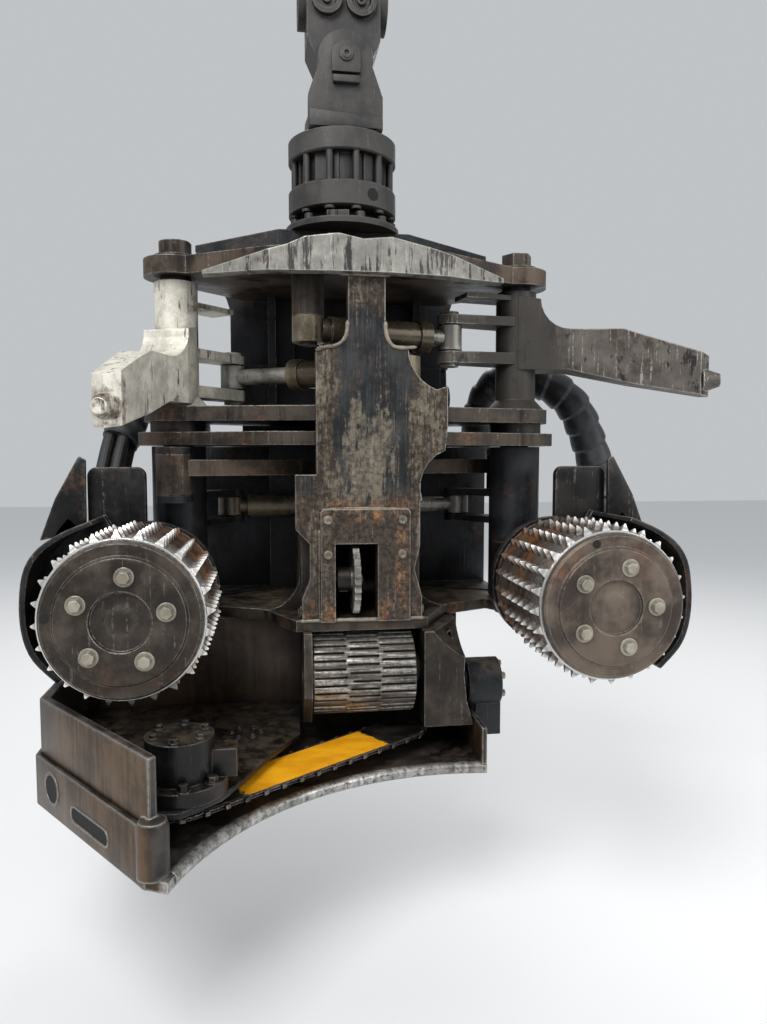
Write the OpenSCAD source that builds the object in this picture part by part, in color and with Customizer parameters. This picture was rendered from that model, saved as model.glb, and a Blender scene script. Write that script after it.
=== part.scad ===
// Timber harvester head with its rotator and knuckle link, hanging upright in the felling position.
// The crane-tip pin runs along X through the origin, and the side that grips the log faces -Y.

/* [Knuckle link] */
// Bore of the crane-tip pin
crane_bore = 60; // [40:1:72]
// Radius of the link's upper knuckle
link_knuckle_r = 62; // [54:1:72]
// Width of the link across the crane tip
link_w = 230; // [180:1:260]
// Width of the link's waist
waist_w = 188; // [150:1:220]
// Depth of the link between the rotator's ears
link_d = 130; // [100:1:150]
// Drop from the crane-tip pin to the swing pin
swing_drop = 180; // [165:1:200]
// Diameter of the swing pin
swing_pin_d = 64; // [44:1:76]

/* [Rotator] */
// Outer diameter of the rotator's rings
rotator_d = 284; // [250:1:300]
// Height of the upper ring's top face below the crane-tip pin
rotator_top = 300; // [290:1:315]
// Thickness of the upper ring
upper_ring_h = 54; // [40:1:60]
// Thickness of the lower ring
lower_ring_h = 74; // [50:1:80]
// Height of the window between the rings
stator_h = 82; // [60:1:90]
// Number of tie rods
tie_rods = 12; // [8:1:16]
// Diameter of a tie rod
tie_rod_d = 18; // [12:1:24]
// Thickness of each ear
ear_t = 45; // [30:1:50]

/* [Hanger] */
// Diameter of the flange that bolts the rotator to the hanger
flange_d = 300; // [270:1:320]
// Half width of the hanger's crossbeam
beam_half = 380; // [330:1:400]
// Half width of the hanger's lower box, to the outside of its cheeks
hanger_half = 300; // [290:1:310]
// Thickness of the hanger's plates
hanger_t = 20; // [12:1:24]
// Diameter of the two tilt pins
tilt_pin_d = 60; // [40:1:70]

/* [Knife pins] */
// Distance of each knife pin from the middle
pin_x = 410; // [405:1:420]
// Diameter of the knife pins
pin_d = 70; // [56:1:76]
// Distance of the knife pins behind the crane-tip pin's plane
pin_y = -230; // [-234:1:-226]

/* [Frame] */
// Thickness of the spine's front plate
spine_t = 35; // [25:1:40]
// Thickness of the top plate
top_t = 40; // [30:1:44]
// Thickness of the shelf under the knives
shelf_t = 34; // [26:1:36]
// Thickness of the middle plate
mid_t = 30; // [22:1:32]
// Thickness of the bottom plate
bottom_t = 25; // [18:1:28]
// Thickness of the back wall
wall_t = 20; // [12:1:24]
// Half width of the back wall
wall_half = 200; // [180:1:210]

/* [Knives] */
// Outer diameter of a knife's hub
knife_hub_d = 98; // [90:1:110]
// Reach of the left knife from its pin
left_reach = 380; // [340:1:400]
// Reach of the right knife from its pin
right_reach = 460; // [400:1:470]
// Height of a knife's blade
blade_h = 98; // [80:1:100]
// How far the blades drop towards their tips
tip_drop = 68; // [0:1:72]
// How far the left knife stands open from straight ahead
left_open = 20; // [15:1:25]
// How far the right knife stands open from straight ahead
right_open = 79; // [77:1:81]
// Distance of a knife's cylinder lug from its pin
lug_reach = 180; // [172:1:184]

/* [Rollers] */
// Diameter of a feed roller over its spikes
roller_d = 330; // [310:1:336]
// Diameter of a feed roller's drum
drum_d = 288; // [270:1:296]
// Length of a feed roller
roller_len = 300; // [260:1:304]
// Number of spikes round a feed roller
spikes = 20; // [14:1:24]
// Number of spike rows along a feed roller
spike_rows = 8; // [5:1:10]
// Distance of each feed roller's axis from the middle
roller_x = 460; // [455:1:470]
// Outer diameter of an arm's hub
arm_hub_d = 124; // [112:1:128]
// Inner radius of the guard round a feed roller
guard_r = 216; // [205:1:225]
// Diameter of the frame roller over its ribs
frame_roller_d = 188; // [160:1:190]
// Number of ribs on the frame roller
ribs = 18; // [12:1:24]

/* [Saw] */
// Reach of the saw bar from its pivot
bar_reach = 598; // [500:1:604]
// Width of the saw bar
bar_w = 100; // [80:1:110]
// Thickness of the saw bar
bar_t = 8; // [6:1:10]
// Thickness of the skid plate
skid_t = 18; // [12:1:22]
// Thickness of the saw box's walls
box_t = 12; // [8:1:14]
// Radius of the skid plate's hollow front edge
skid_hollow_r = 560; // [520:1:600]

/* [Hidden] */
$fn = 48;

// Running clearance of a pin in its bore, on the radius
pin_fit = 0.08;
// Gap between two faces that turn on each other
face_gap = 0.5;
// Seat between two pieces that are bolted or pressed together
seat = 0.3;

// Colours
worn = [0.24, 0.21, 0.19];
dark = [0.13, 0.12, 0.12];
bare = [0.58, 0.56, 0.53];
cream = [0.72, 0.68, 0.57];
tan_steel = [0.45, 0.39, 0.30];
yellow = [0.93, 0.63, 0.07];

// Heights of the plates' faces, counted from the crane-tip pin
top_z = -763;
shelf_z = -1093;
mid_z = -1148;
bottom_z = -1553;
knife_top = top_z - 10;
spine_front = -450;
spine_back = spine_front + spine_t;
wall_y = 0;

// Tilt hinge, its cylinders' anchor and their lug on the frame
tilt_y = 110;
tilt_z = -1010;
tilt_anchor = [310, -680];
tilt_lug = [200, -1070];
tilt_cyl_x = 150;
tilt_barrel_len = 218;
tilt_rod_start = 198;

// Knife cylinders: the left one lies lower than the right one
left_cyl_z = -975;
right_cyl_z = -890;
anchor_x = 110;
anchor_y = -345;
lug_turn = 158;
eye_r = 36;
barrel_r = 33;
rod_r = 20;
cyl_pin_r = 20;
eye_h = 58;
lug_gap = 64;
knife_barrel_len = 295;

// Feed arms
arm_top = mid_z - 2;
arm_foot = bottom_z + bottom_t + 6;
roller_z = -1463;
roller_front = -700;
roller_back = roller_front + roller_len;
ring_r = 150;
motor_r = 60;
arm_lug_z = [-1168, -1275, -1343];
arm_lug_t = [16, 17, 17];
arm_cyl_z = -1300.5;
arm_pin = [-pin_x, pin_y];
arm_cyl_pin = [-300, -80];
timing_r = 112;

// Frame roller and saw
frame_roller_y = -400;
frame_roller_z = -1655;
drive_z = -1692;
bar_pivot = [-360, -740];
bar_angle = 35.5;
bar_z = -1796;
skid_z = -1850;
motor_plate_z = -1773;
box_wall_y = -262;

// Places a child on the right knife pin, on the left one, or on both
module at_pins() {
    for (side = [-1, 1])
        translate([side * pin_x, pin_y, 0])
            children();
}

// Round bar along Y between two places
module bar_y(r, y0, y1) {
    translate([0, y0, 0])
        rotate([-90, 0, 0])
            cylinder(r = r, h = y1 - y0);
}

// Round bar along X between two places
module bar_x(r, x0, x1) {
    translate([x0, 0, 0])
        rotate([0, 90, 0])
            cylinder(r = r, h = x1 - x0);
}

// Flat plate from a plan outline
module plate(points, z, t) {
    translate([0, 0, z])
        linear_extrude(t)
            polygon(points);
}

// Upright plate from an outline in X and Z, its front face at y
module front_plate(points, y, t) {
    translate([0, y + t, 0])
        rotate([90, 0, 0])
            linear_extrude(t)
                polygon(points);
}

// Upright plate from an outline in Y and Z, its left face at x
module side_plate(points, x, t) {
    translate([x, 0, 0])
        rotate([90, 0, 90])
            linear_extrude(t)
                polygon(points);
}

// Points along an arc
function arc(c, r, a0, a1, n) = [for (i = [0 : n]) let (a = a0 + (a1 - a0) * i / n)
    [c[0] + r * cos(a), c[1] + r * sin(a)]];

// Mirror image of an outline, in the opposite order
function mirrored(points) = [for (i = [len(points) - 1 : -1 : 0]) [-points[i][0], points[i][1]]];

module pin_bores(z, h) {
    at_pins()
        translate([0, 0, z - 1])
            cylinder(d = pin_d + 2 * pin_fit, h = h + 2);
}

// Knuckle link with a bore each way and two round recesses in front
module crane_link() {
    color(dark)
    difference() {
        union() {
            bar_x(link_knuckle_r, -link_w / 2, link_w / 2);
            translate([0, 0, -swing_drop])
                bar_y(link_knuckle_r, -link_d / 2, link_d / 2);
            translate([-waist_w / 2, -link_d / 2, -110])
                cube([waist_w, link_d, 110]);
            front_plate([[-waist_w / 2, -110], [-link_knuckle_r, -swing_drop],
                [link_knuckle_r, -swing_drop], [waist_w / 2, -110]], -link_d / 2, link_d);
            for (x = [-44, 44])
                translate([x, 0, -22])
                    bar_y(38, -link_d / 2 - 16, 0);
        }
        bar_x(crane_bore / 2, -link_w / 2 - 1, link_w / 2 + 1);
        translate([0, 0, -swing_drop])
            bar_y(swing_pin_d / 2 + pin_fit, -link_d / 2 - 1, link_d / 2 + 1);
        for (x = [-44, 44])
            translate([x, 0, -22])
                bar_y(25, -link_d / 2 - 17, -link_d / 2 - 4);
    }
}

// Upper ring of the rotator with the two ears that hang on the swing pin
module rotator_ears() {
    ear_in = link_d / 2 + 3;
    color(dark)
    difference() {
        union() {
            translate([0, 0, -rotator_top - upper_ring_h])
                cylinder(d = rotator_d, h = upper_ring_h, $fn = 72);
            for (y = [-ear_in - ear_t, ear_in]) {
                translate([0, 0, -swing_drop])
                    bar_y(70, y, y + ear_t);
                front_plate([[-92, -rotator_top], [92, -rotator_top], [88, -250], [68, -swing_drop - 16],
                    [-68, -swing_drop - 16], [-88, -250]], y, ear_t);
            }
        }
        translate([0, 0, -swing_drop])
            bar_y(swing_pin_d / 2 + pin_fit, -rotator_d, rotator_d);
    }
}

// Swing pin with the flat keeper plate on its front end
module swing_pin() {
    ear_out = link_d / 2 + 3 + ear_t;
    color(worn)
    translate([0, 0, -swing_drop]) {
        bar_y(swing_pin_d / 2, -ear_out - seat, ear_out + 8);
        difference() {
            bar_y(40, -ear_out - seat - 12, -ear_out - seat);
            translate([-50, -ear_out - 20, 22])
                cube([100, 30, 30]);
        }
    }
}

// Rotator body: stator, lower ring and the ring of tie rods
module rotator_body() {
    top = -rotator_top - upper_ring_h;
    low = top - stator_h;
    color(dark)
    difference() {
        union() {
            translate([0, 0, low])
                cylinder(d = rotator_d - 52, h = stator_h, $fn = 72);
            translate([0, 0, low - lower_ring_h])
                cylinder(d = rotator_d, h = lower_ring_h, $fn = 72);
            for (i = [0 : tie_rods - 1])
                rotate(i * 360 / tie_rods)
                    translate([rotator_d / 2 - tie_rod_d / 2 - 5, 0, low - 1])
                        cylinder(d = tie_rod_d, h = stator_h + 1, $fn = 20);
        }
        rotate(-62)
            translate([0, 0, low - lower_ring_h / 2])
                bar_x(15, rotator_d / 2 - 24, rotator_d / 2 + 1);
    }
}

// Turning neck and flange under the rotator, with the blocks that carry the oil lines
module rotor_flange() {
    neck_top = -rotator_top - upper_ring_h - stator_h - lower_ring_h - face_gap;
    color(dark) {
        difference() {
            union() {
                translate([0, 0, -560])
                    cylinder(d = 200, h = neck_top + 560);
                translate([0, 0, -590])
                    cylinder(d = flange_d, h = 30, $fn = 72);
            }
            for (i = [0 : 11])
                rotate(i * 30 + 15)
                    translate([flange_d / 2 - 22, 0, -591])
                        cylinder(d = 20, h = 32, $fn = 20);
        }
        for (a = [200, 340])
            rotate(a)
                translate([88, -30, -560])
                    cube([30, 60, neck_top + 560 - 6]);
    }
}

// Hanger: crossbeam on top, a box open below, and cheeks with the tilt bosses
module hanger() {
    beam = [[-beam_half, -640], [-beam_half, -655], [beam_half, -655], [beam_half, -640],
        [170, -590 - seat], [-170, -590 - seat]];
    side_r = 130;
    half = concat([[beam_half, -655]],
        arc([hanger_half + side_r, -800], side_r, 90, 180, 8), [[hanger_half, -930]]);
    front = concat(half, mirrored(half));
    color(dark)
    difference() {
        union() {
            front_plate(beam, -60, 220);
            front_plate(front, 40, hanger_t);
            front_plate([[-hanger_half, -655], [-hanger_half, -860], [hanger_half, -860],
                [hanger_half, -655]], 130, hanger_t);
            for (x = [-hanger_half, hanger_half - 24])
                side_plate(concat([[150, -655], [60, -655], [60, -930]],
                    arc([tilt_y, tilt_z], 60, 180, 360, 12), [[tilt_y + 60, -900], [150, -860]]), x, 24);
            for (x = [-tilt_cyl_x, tilt_cyl_x])
                for (dx = [-52, 34])
                    side_plate([[150, -655], [150, -800], [tilt_anchor[0] - 20, tilt_anchor[1] - 38],
                        [tilt_anchor[0] + 38, tilt_anchor[1] - 30], [tilt_anchor[0] + 38, -655]],
                        x + dx, 18);
        }
        translate([0, tilt_y, tilt_z])
            bar_x(tilt_pin_d / 2 + pin_fit, -hanger_half - 1, hanger_half + 1);
        translate([0, tilt_anchor[0], tilt_anchor[1]])
            bar_x(cyl_pin_r + pin_fit, -tilt_cyl_x - 60, tilt_cyl_x + 60);
        translate([0, 45, -700])
            bar_y(60, -20, 40);
    }
}

// The two pins that the head tilts on
module tilt_pins() {
    color(worn)
    for (side = [-1, 1])
        mirror([side < 0 ? 1 : 0, 0, 0])
            translate([0, tilt_y, tilt_z]) {
                bar_x(tilt_pin_d / 2, 215, hanger_half + 6);
                bar_x(tilt_pin_d / 2 + 12, hanger_half + seat, hanger_half + 14);
            }
}

// A cylinder's barrel along X from its eye at the origin, with the gland at its end
module barrel(length, r, eye, h, pin) {
    difference() {
        union() {
            cylinder(r = eye, h = h, center = true);
            bar_x(h / 2 - 2, eye - 8, eye + 14);
            bar_x(r, eye + 12, length - 24);
            bar_x(r + 5, length - 30, length);
        }
        cylinder(r = pin, h = h + 2, center = true);
        bar_x(rod_r + pin_fit, eye + 12, length + 1);
    }
}

// A cylinder's rod along X, its eye at reach from the barrel's eye, with the pin's ends in a gap
module rod(start, reach, eye, h, gap) {
    bar_x(rod_r, start, reach - eye + 8);
    translate([reach, 0, 0]) {
        cylinder(r = eye, h = h, center = true);
        cylinder(r = cyl_pin_r, h = gap - 2 * seat, center = true);
    }
}

function span(a, b) = norm([b[0] - a[0], b[1] - a[1]]);
function heading(a, b) = atan2(b[1] - a[1], b[0] - a[0]);

// Places a cylinder drawn along X at one tilt anchor, pointing at the frame's lug
module on_tilt_cylinder(x) {
    translate([x, tilt_anchor[0], tilt_anchor[1]])
        rotate([heading(tilt_anchor, tilt_lug), 0, 0])
            rotate([90, 0, 90])
                children();
}

module tilt_barrels() {
    color(tan_steel)
    for (x = [-tilt_cyl_x, tilt_cyl_x])
        on_tilt_cylinder(x)
            barrel(tilt_barrel_len, barrel_r, eye_r, 64, cyl_pin_r + pin_fit);
    color(worn)
    translate([0, tilt_anchor[0], tilt_anchor[1]])
        for (x = [-tilt_cyl_x, tilt_cyl_x])
            bar_x(cyl_pin_r, x - 56, x + 56);
}

module tilt_rods() {
    reach = span(tilt_anchor, tilt_lug);
    color(bare)
    for (x = [-tilt_cyl_x, tilt_cyl_x])
        on_tilt_cylinder(x)
            rod(tilt_rod_start, reach, 34, 52, 58);
}

// Spine: the front plate down the middle of the frame, its neck under the fixed knife
module spine_plate() {
    spine_foot = bottom_z + bottom_t;
    outline = concat(
        [[-30, top_z], [-30, -880]],
        arc([-62, -906], 32, 0, -90, 5),
        [[-92, -938], [-99, -950], [-99, -1212], [-145, -1212], [-145, -1330], [-115, -1362],
        [-115, -1440], [-132, -1480], [-132, spine_foot], [132, spine_foot], [132, -1480], [115, -1420],
        [127, -1370], [127, -1270]],
        arc([212, -1240], 85, 200, 110, 6),
        [[188, -1110], [188, -1020]],
        arc([196, -938], 96, 250, 180, 6),
        arc([82, -906], 32, 270, 180, 5),
        [[50, -870], [50, top_z]]);
    color(worn)
    difference() {
        front_plate(outline, spine_front, spine_t);
        translate([-60, spine_front - 1, spine_foot - 1])
            cube([92, spine_t + 2, -1360 - spine_foot]);
    }
}

// Plan outline of a frame plate: pin lobes on both sides, a straight back, a chosen front
module frame_plate(front, lobe_r, z, t) {
    color(worn)
    difference() {
        union() {
            at_pins()
                translate([0, 0, z])
                    cylinder(r = lobe_r, h = t);
            plate(concat(front, mirrored(front)), z, t);
        }
        pin_bores(z, t);
    }
}

module top_plate() {
    frame_plate([[0, spine_front], [60, spine_front], [200, -404], [345, -316], [pin_x - 20, pin_y - 60],
        [pin_x + 20, pin_y + 60], [wall_half + 60, wall_y], [0, wall_y]], 72, top_z, top_t);
}

// Fixed top knife: a peaked blade across the front of the top plate
module fixed_knife() {
    peak = concat(
        [[-340, -768], [-262, -752], [-160, -731], [-120, -716], [-50, -712], [0, -722], [60, -716],
        [150, -728], [240, -745], [340, -764]],
        [[340, -774], [240, -782], [60, -789], [-60, -789], [-240, -780], [-340, -776]]);
    color(bare)
    intersection() {
        front_plate(peak, spine_front - 30, 170);
        plate([[-345, -350], [-200, -438], [-60, -480], [60, -480], [200, -438], [345, -350], [345, -316],
            [200, -404], [60, spine_front], [-60, spine_front], [-200, -404], [-345, -316]], -800, 100);
    }
}

module knife_shelf() {
    frame_plate([[0, spine_back + seat], [120, spine_back + 40], [pin_x - 10, pin_y - 76],
        [pin_x + 10, pin_y + 76], [wall_half + 40, wall_y], [0, wall_y]], 78, shelf_z, shelf_t);
    color(worn)
    difference() {
        at_pins()
            translate([0, 0, mid_z + mid_t])
                cylinder(r = 64, h = shelf_z - mid_z - mid_t);
        pin_bores(mid_z, 100);
    }
}

module middle_plate() {
    frame_plate([[0, spine_back], [188, spine_back], [pin_x - 10, pin_y - 88],
        [pin_x + 14, pin_y + 80], [wall_half + 20, wall_y], [0, wall_y]], 92, mid_z, mid_t);
}

// Box behind the spine's foot, open in front for the measuring wheel
module core_box() {
    top = -1345;
    side = 132;
    color(worn) {
        for (x = [-side, side - 18])
            translate([x, spine_back, bottom_z + bottom_t])
                cube([18, wall_y - spine_back, top - bottom_z - bottom_t - 15]);
        translate([-side, spine_back, top - 15])
            cube([2 * side, wall_y - spine_back, 15]);
        for (m = [0, 1])
            mirror([m, 0, 0])
                front_plate(concat([[side, bottom_z + bottom_t]], arc([side + 85, -1443], 85, 180, 270, 6),
                    [[side + 85, bottom_z + bottom_t]]), -328, 18);
    }
}

module bottom_plate() {
    frame_plate([[0, spine_front], [145, spine_front], [215, -310], [330, -255],
        [pin_x - 10, pin_y - 78], [pin_x + 10, pin_y + 78], [wall_half, wall_y], [0, wall_y]],
        80, bottom_z, bottom_t);
}

// Back wall, its ribs and the lugs that carry the tilt pins and tilt cylinders
module back_wall() {
    color(worn)
    difference() {
        union() {
            translate([-wall_half, wall_y, bottom_z])
                cube([2 * wall_half, wall_t, top_z + top_t - bottom_z]);
            for (m = [0, 1])
                mirror([m, 0, 0]) {
                    side_plate([[wall_y - 70, shelf_z + shelf_t], [wall_y, shelf_z + shelf_t],
                        [wall_y, top_z], [wall_y - 70, top_z]], wall_half - 20, 20);
                    side_plate(concat([[wall_y, -930]], arc([tilt_y, tilt_z], 52, 90, -90, 10),
                        [[wall_y, -1110]]), 226, 44);
                    translate([wall_half, wall_y, -1110])
                        cube([70, wall_t, 180]);
                    for (x = [tilt_cyl_x - 47, tilt_cyl_x + 29])
                        side_plate(concat([[wall_y + wall_t, -1010]],
                            arc(tilt_lug, 34, 70, -100, 8), [[wall_y + wall_t, -1140]]), x, 18);
                    for (x = [tilt_cyl_x - 57, tilt_cyl_x + 47])
                        translate([0, tilt_lug[0], tilt_lug[1]])
                            bar_x(24, x, x + 10);
                }
        }
        translate([0, tilt_y, tilt_z])
            bar_x(tilt_pin_d / 2 + pin_fit, -hanger_half, hanger_half);
        translate([-110, wall_y - 1, -1340])
            cube([220, wall_t + 2, 110]);
        translate([-130, wall_y - 1, -990])
            cube([260, wall_t + 2, 150]);
    }
}

// Valve block on the back of the frame
module valve_block() {
    y = wall_y + wall_t + seat;
    color(dark) {
        translate([-150, y, -1480])
            cube([300, 110, 260]);
        for (x = [-105 : 42 : 105])
            for (z = [-1445, -1385, -1325, -1265])
                translate([x, 0, z])
                    bar_y(13, y + 110, y + 138);
    }
}

// Knife pin, from its head above the top plate to the nut under the bottom plate
module knife_pin(side, flats) {
    top = top_z + top_t;
    translate([side * pin_x, pin_y, 0]) {
        translate([0, 0, bottom_z - 7])
            cylinder(d = pin_d, h = top - bottom_z + 12);
        translate([0, 0, top + seat])
            cylinder(d = pin_d + 28, h = 10);
        translate([0, 0, top + seat])
            cylinder(d = pin_d + 4, h = 42, $fn = flats);
        translate([0, 0, bottom_z - seat - 14])
            cylinder(d = pin_d + 20, h = 14);
    }
}

module knife_pin_left() {
    color(worn)
    knife_pin(-1, 48);
}

module knife_pin_right() {
    color(worn)
    knife_pin(1, 6);
}

// Short pins that anchor the knife cylinders: one stands on the shelf, one hangs from the top plate
module cylinder_pins() {
    shelf_top = shelf_z + shelf_t;
    color(worn) {
        translate([anchor_x, anchor_y, shelf_top]) {
            cylinder(r = cyl_pin_r, h = left_cyl_z + eye_h / 2 + 6 - shelf_top);
            cylinder(r = eye_r, h = left_cyl_z - eye_h / 2 - face_gap - shelf_top);
        }
        translate([-anchor_x, anchor_y, right_cyl_z - eye_h / 2 - 6]) {
            cylinder(r = cyl_pin_r, h = top_z - right_cyl_z + eye_h / 2 + 6);
            translate([0, 0, eye_h + 6 + face_gap])
                cylinder(r = eye_r, h = top_z - right_cyl_z - eye_h / 2 - face_gap);
        }
    }
}

// One knife about its pin: hub, blade along -Y turned open, two lugs for the cylinder and a thin one
module knife(open, reach, root_z, cyl_z, thin_z) {
    hub_foot = shelf_z + shelf_t + face_gap;
    plan = [[0, -30], [-56, -40], [-52, -120], [-20, -reach * 0.62], [8, -reach + 12], [40, -reach],
        [62, -reach + 26], [48, -reach * 0.66], [44, -reach * 0.35], [56, -60], [50, 0]];
    blade_top = root_z + blade_h;
    side = concat([[60, root_z], [-125, root_z], [-reach * 0.6, root_z - tip_drop * 0.5],
        [-reach - 5, root_z - tip_drop], [-reach - 5, blade_top - tip_drop], [-reach * 0.55, blade_top]],
        arc([-knife_hub_d / 2 - 74, blade_top + 70], 70, -90, 0, 6), [[60, blade_top + 90]]);
    difference() {
        union() {
            translate([0, 0, hub_foot])
                cylinder(d = knife_hub_d, h = knife_top - hub_foot);
            translate([0, 0, hub_foot])
                cylinder(d1 = knife_hub_d + 44, d2 = knife_hub_d, h = 24);
            rotate(-open)
                intersection() {
                    plate(plan, root_z - 100, blade_h + 260);
                    side_plate(side, -100, 200);
                }
            rotate(-open)
                translate([36, -reach + 14, root_z - tip_drop + blade_h * 0.42])
                    rotate([90, 0, 12])
                        cylinder(r1 = 30, r2 = 15, h = 40);
            rotate(lug_turn - open - 90)
                for (lug = [[cyl_z + lug_gap / 2, 22], [cyl_z - lug_gap / 2 - 28, 28]]) {
                    translate([0, 0, lug[0]])
                        linear_extrude(lug[1])
                            polygon([[0, -44], [lug_reach, -30], [lug_reach, 30], [0, 44]]);
                    translate([lug_reach, 0, lug[0]])
                        cylinder(r = 30, h = lug[1]);
                }
            rotate(lug_turn - open - 90)
                translate([lug_reach, 0, 0])
                    for (z = [cyl_z + lug_gap / 2 + 22, cyl_z - lug_gap / 2 - 36])
                        translate([0, 0, z])
                            cylinder(r = 22, h = 8);
            rotate(lug_turn - open - 90)
                translate([0, -36, thin_z])
                    cube([150, 72, 12]);
        }
        translate([0, 0, hub_foot - 1])
            cylinder(d = pin_d + 2 * pin_fit, h = knife_top - hub_foot + 2);
    }
}

module knife_left() {
    color(cream)
    translate([-pin_x, pin_y, 0])
        knife(left_open, left_reach, -1053, left_cyl_z, -826);
}

module knife_right() {
    color(worn)
    translate([pin_x, pin_y, 0])
        mirror([1, 0, 0])
            knife(right_open, right_reach, -963, right_cyl_z, -796);
}

// Places of the cylinders' ends at rest
function lug_place(open) = [-pin_x + lug_reach * sin(lug_turn - open), pin_y - lug_reach * cos(lug_turn - open)];
left_anchor = [anchor_x, anchor_y];

module on_knife_cylinder(open, z, flip) {
    mirror([flip, 0, 0])
        translate([anchor_x, anchor_y, z])
            rotate(heading(left_anchor, lug_place(open)))
                children();
}

module knife_barrel_left() {
    color(tan_steel)
    on_knife_cylinder(left_open, left_cyl_z, 0)
        barrel(knife_barrel_len, barrel_r, eye_r, eye_h, cyl_pin_r + pin_fit);
}

module knife_barrel_right() {
    color(tan_steel)
    on_knife_cylinder(right_open, right_cyl_z, 1)
        barrel(knife_barrel_len, barrel_r, eye_r, eye_h, cyl_pin_r + pin_fit);
}

module knife_rod_left() {
    color(bare)
    on_knife_cylinder(left_open, left_cyl_z, 0)
        rod(185, span(left_anchor, lug_place(left_open)), 30, eye_h, lug_gap);
}

module knife_rod_right() {
    color(bare)
    on_knife_cylinder(right_open, right_cyl_z, 1)
        rod(62, span(left_anchor, lug_place(right_open)), 30, eye_h, lug_gap);
}

// Outline of a lug: a strip from the pin to a round end
module lug_outline(turn, reach, half, r) {
    rotate(turn) {
        translate([0, -half])
            square([reach, 2 * half]);
        translate([reach, 0])
            circle(r = r);
    }
}

// One feed arm, drawn on the left: hub, lug plates, webs and the ring plate behind the roller
module arm(timing_a, bored) {
    ring_y = roller_back + 8;
    ring_t = 22;
    roller_c = [-roller_x, roller_z];
    difference() {
        union() {
            translate([-pin_x, pin_y, arm_foot])
                cylinder(d = arm_hub_d, h = arm_top - arm_foot);
            for (i = [0, 1, 2])
                translate([-pin_x, pin_y, arm_lug_z[i]])
                    linear_extrude(arm_lug_t[i]) {
                        if (i < 2)
                            lug_outline(timing_a, timing_r, 35, 38);
                        if (i > 0)
                            lug_outline(heading(arm_pin, arm_cyl_pin), span(arm_pin, arm_cyl_pin), 30, 34);
                    }
            for (z = [-1400, arm_foot + 8])
                plate([[-pin_x - 60, pin_y - 10], [-pin_x + 60, pin_y - 10], [-roller_x + 90, ring_y + 2],
                    [-roller_x - 130, ring_y + 2]], z, 16);
            translate([-roller_x, 0, roller_z])
                bar_y(ring_r, ring_y, ring_y + ring_t);
            front_plate(concat([[-roller_x, roller_z]], arc(roller_c, guard_r + 12, 136, 222, 12)),
                ring_y, ring_t);
            if (bored)
                translate([-pin_x, pin_y - timing_r, arm_lug_z[1]])
                    cylinder(r = cyl_pin_r, h = arm_lug_z[0] + arm_lug_t[0] - arm_lug_z[1]);
        }
        translate([-pin_x, pin_y, arm_foot - 1])
            cylinder(d = pin_d + 2 * pin_fit, h = arm_top - arm_foot + 2);
        translate([-roller_x, 0, roller_z])
            bar_y(44 + seat, ring_y - 1, ring_y + ring_t + 1);
        translate([-roller_x, 0, roller_z])
            bar_y(motor_r + 3, ring_y + ring_t, ring_y + 90);
        if (bored)
            translate([arm_cyl_pin[0], arm_cyl_pin[1], arm_lug_z[2] - 1])
                cylinder(r = cyl_pin_r + pin_fit, h = 100);
    }
}

module arm_left() {
    color(worn)
    arm(-90, true);
}

module arm_right() {
    color(worn)
    mirror([1, 0, 0])
        arm(90, false);
}

// Guard shell round the outer half of a feed roller, drawn on the left
module roller_guard() {
    c = [-roller_x, roller_z];
    y = roller_back + 8;
    front_plate(concat(arc(c, guard_r + 12, 132, 224, 14), arc(c, guard_r, 224, 132, 14)), y - 128, 128 - seat);
}

module roller_guard_left() {
    color(dark)
    roller_guard();
}

module roller_guard_right() {
    color(dark)
    mirror([1, 0, 0])
        roller_guard();
}

// Hydraulic motor behind the ring plate, its shaft reaching into the drum
module roller_motor() {
    ring_y = roller_back + 8;
    translate([-roller_x, 0, roller_z]) {
        bar_y(motor_r, ring_y + 22 + seat, ring_y + 86);
        bar_y(44, roller_front + 60, ring_y + 30);
        translate([-118, ring_y + 22 + seat, -34])
            cube([64, 60, 68]);
    }
}

module roller_motor_left() {
    color(dark)
    roller_motor();
}

module roller_motor_right() {
    color(dark)
    mirror([1, 0, 0])
        roller_motor();
}

// Star outline with sharp teeth
function star(n, r_in, r_out, turn) = [for (i = [0 : 2 * n - 1])
    let (a = turn + i * 180 / n, r = i % 2 == 0 ? r_out : r_in) [r * cos(a), r * sin(a)]];

// Spiked drum, drawn on the left: rows of spikes, each row turned by half a pitch
module feed_roller() {
    pitch = roller_len / spike_rows;
    translate([-roller_x, roller_front, roller_z])
        rotate([-90, 0, 0])
            difference() {
                union() {
                    cylinder(d = drum_d, h = roller_len, $fn = 72);
                    for (i = [0 : spike_rows - 1])
                        translate([0, 0, (i + 0.14) * pitch])
                            linear_extrude(pitch * 0.72)
                                polygon(star(spikes, drum_d / 2 - 6, roller_d / 2, i * 180 / spikes));
                }
                translate([0, 0, 30])
                    cylinder(r = 44 + face_gap, h = roller_len);
            }
}

module feed_roller_left() {
    color(worn)
    feed_roller();
}

module feed_roller_right() {
    color(worn)
    mirror([1, 0, 0])
        feed_roller();
}

// Stepped cover on the front of a feed roller
module roller_cover() {
    translate([-roller_x, 0, roller_z])
        difference() {
            union() {
                bar_y(drum_d / 2 - 4, roller_front - 14, roller_front);
                bar_y(drum_d * 0.4, roller_front - 22, roller_front - 14);
            }
            bar_y(drum_d * 0.188, roller_front - 23, roller_front - 15);
        }
}

module roller_cover_left() {
    color(worn)
    roller_cover();
}

module roller_cover_right() {
    color(worn)
    mirror([1, 0, 0])
        roller_cover();
}

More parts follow.
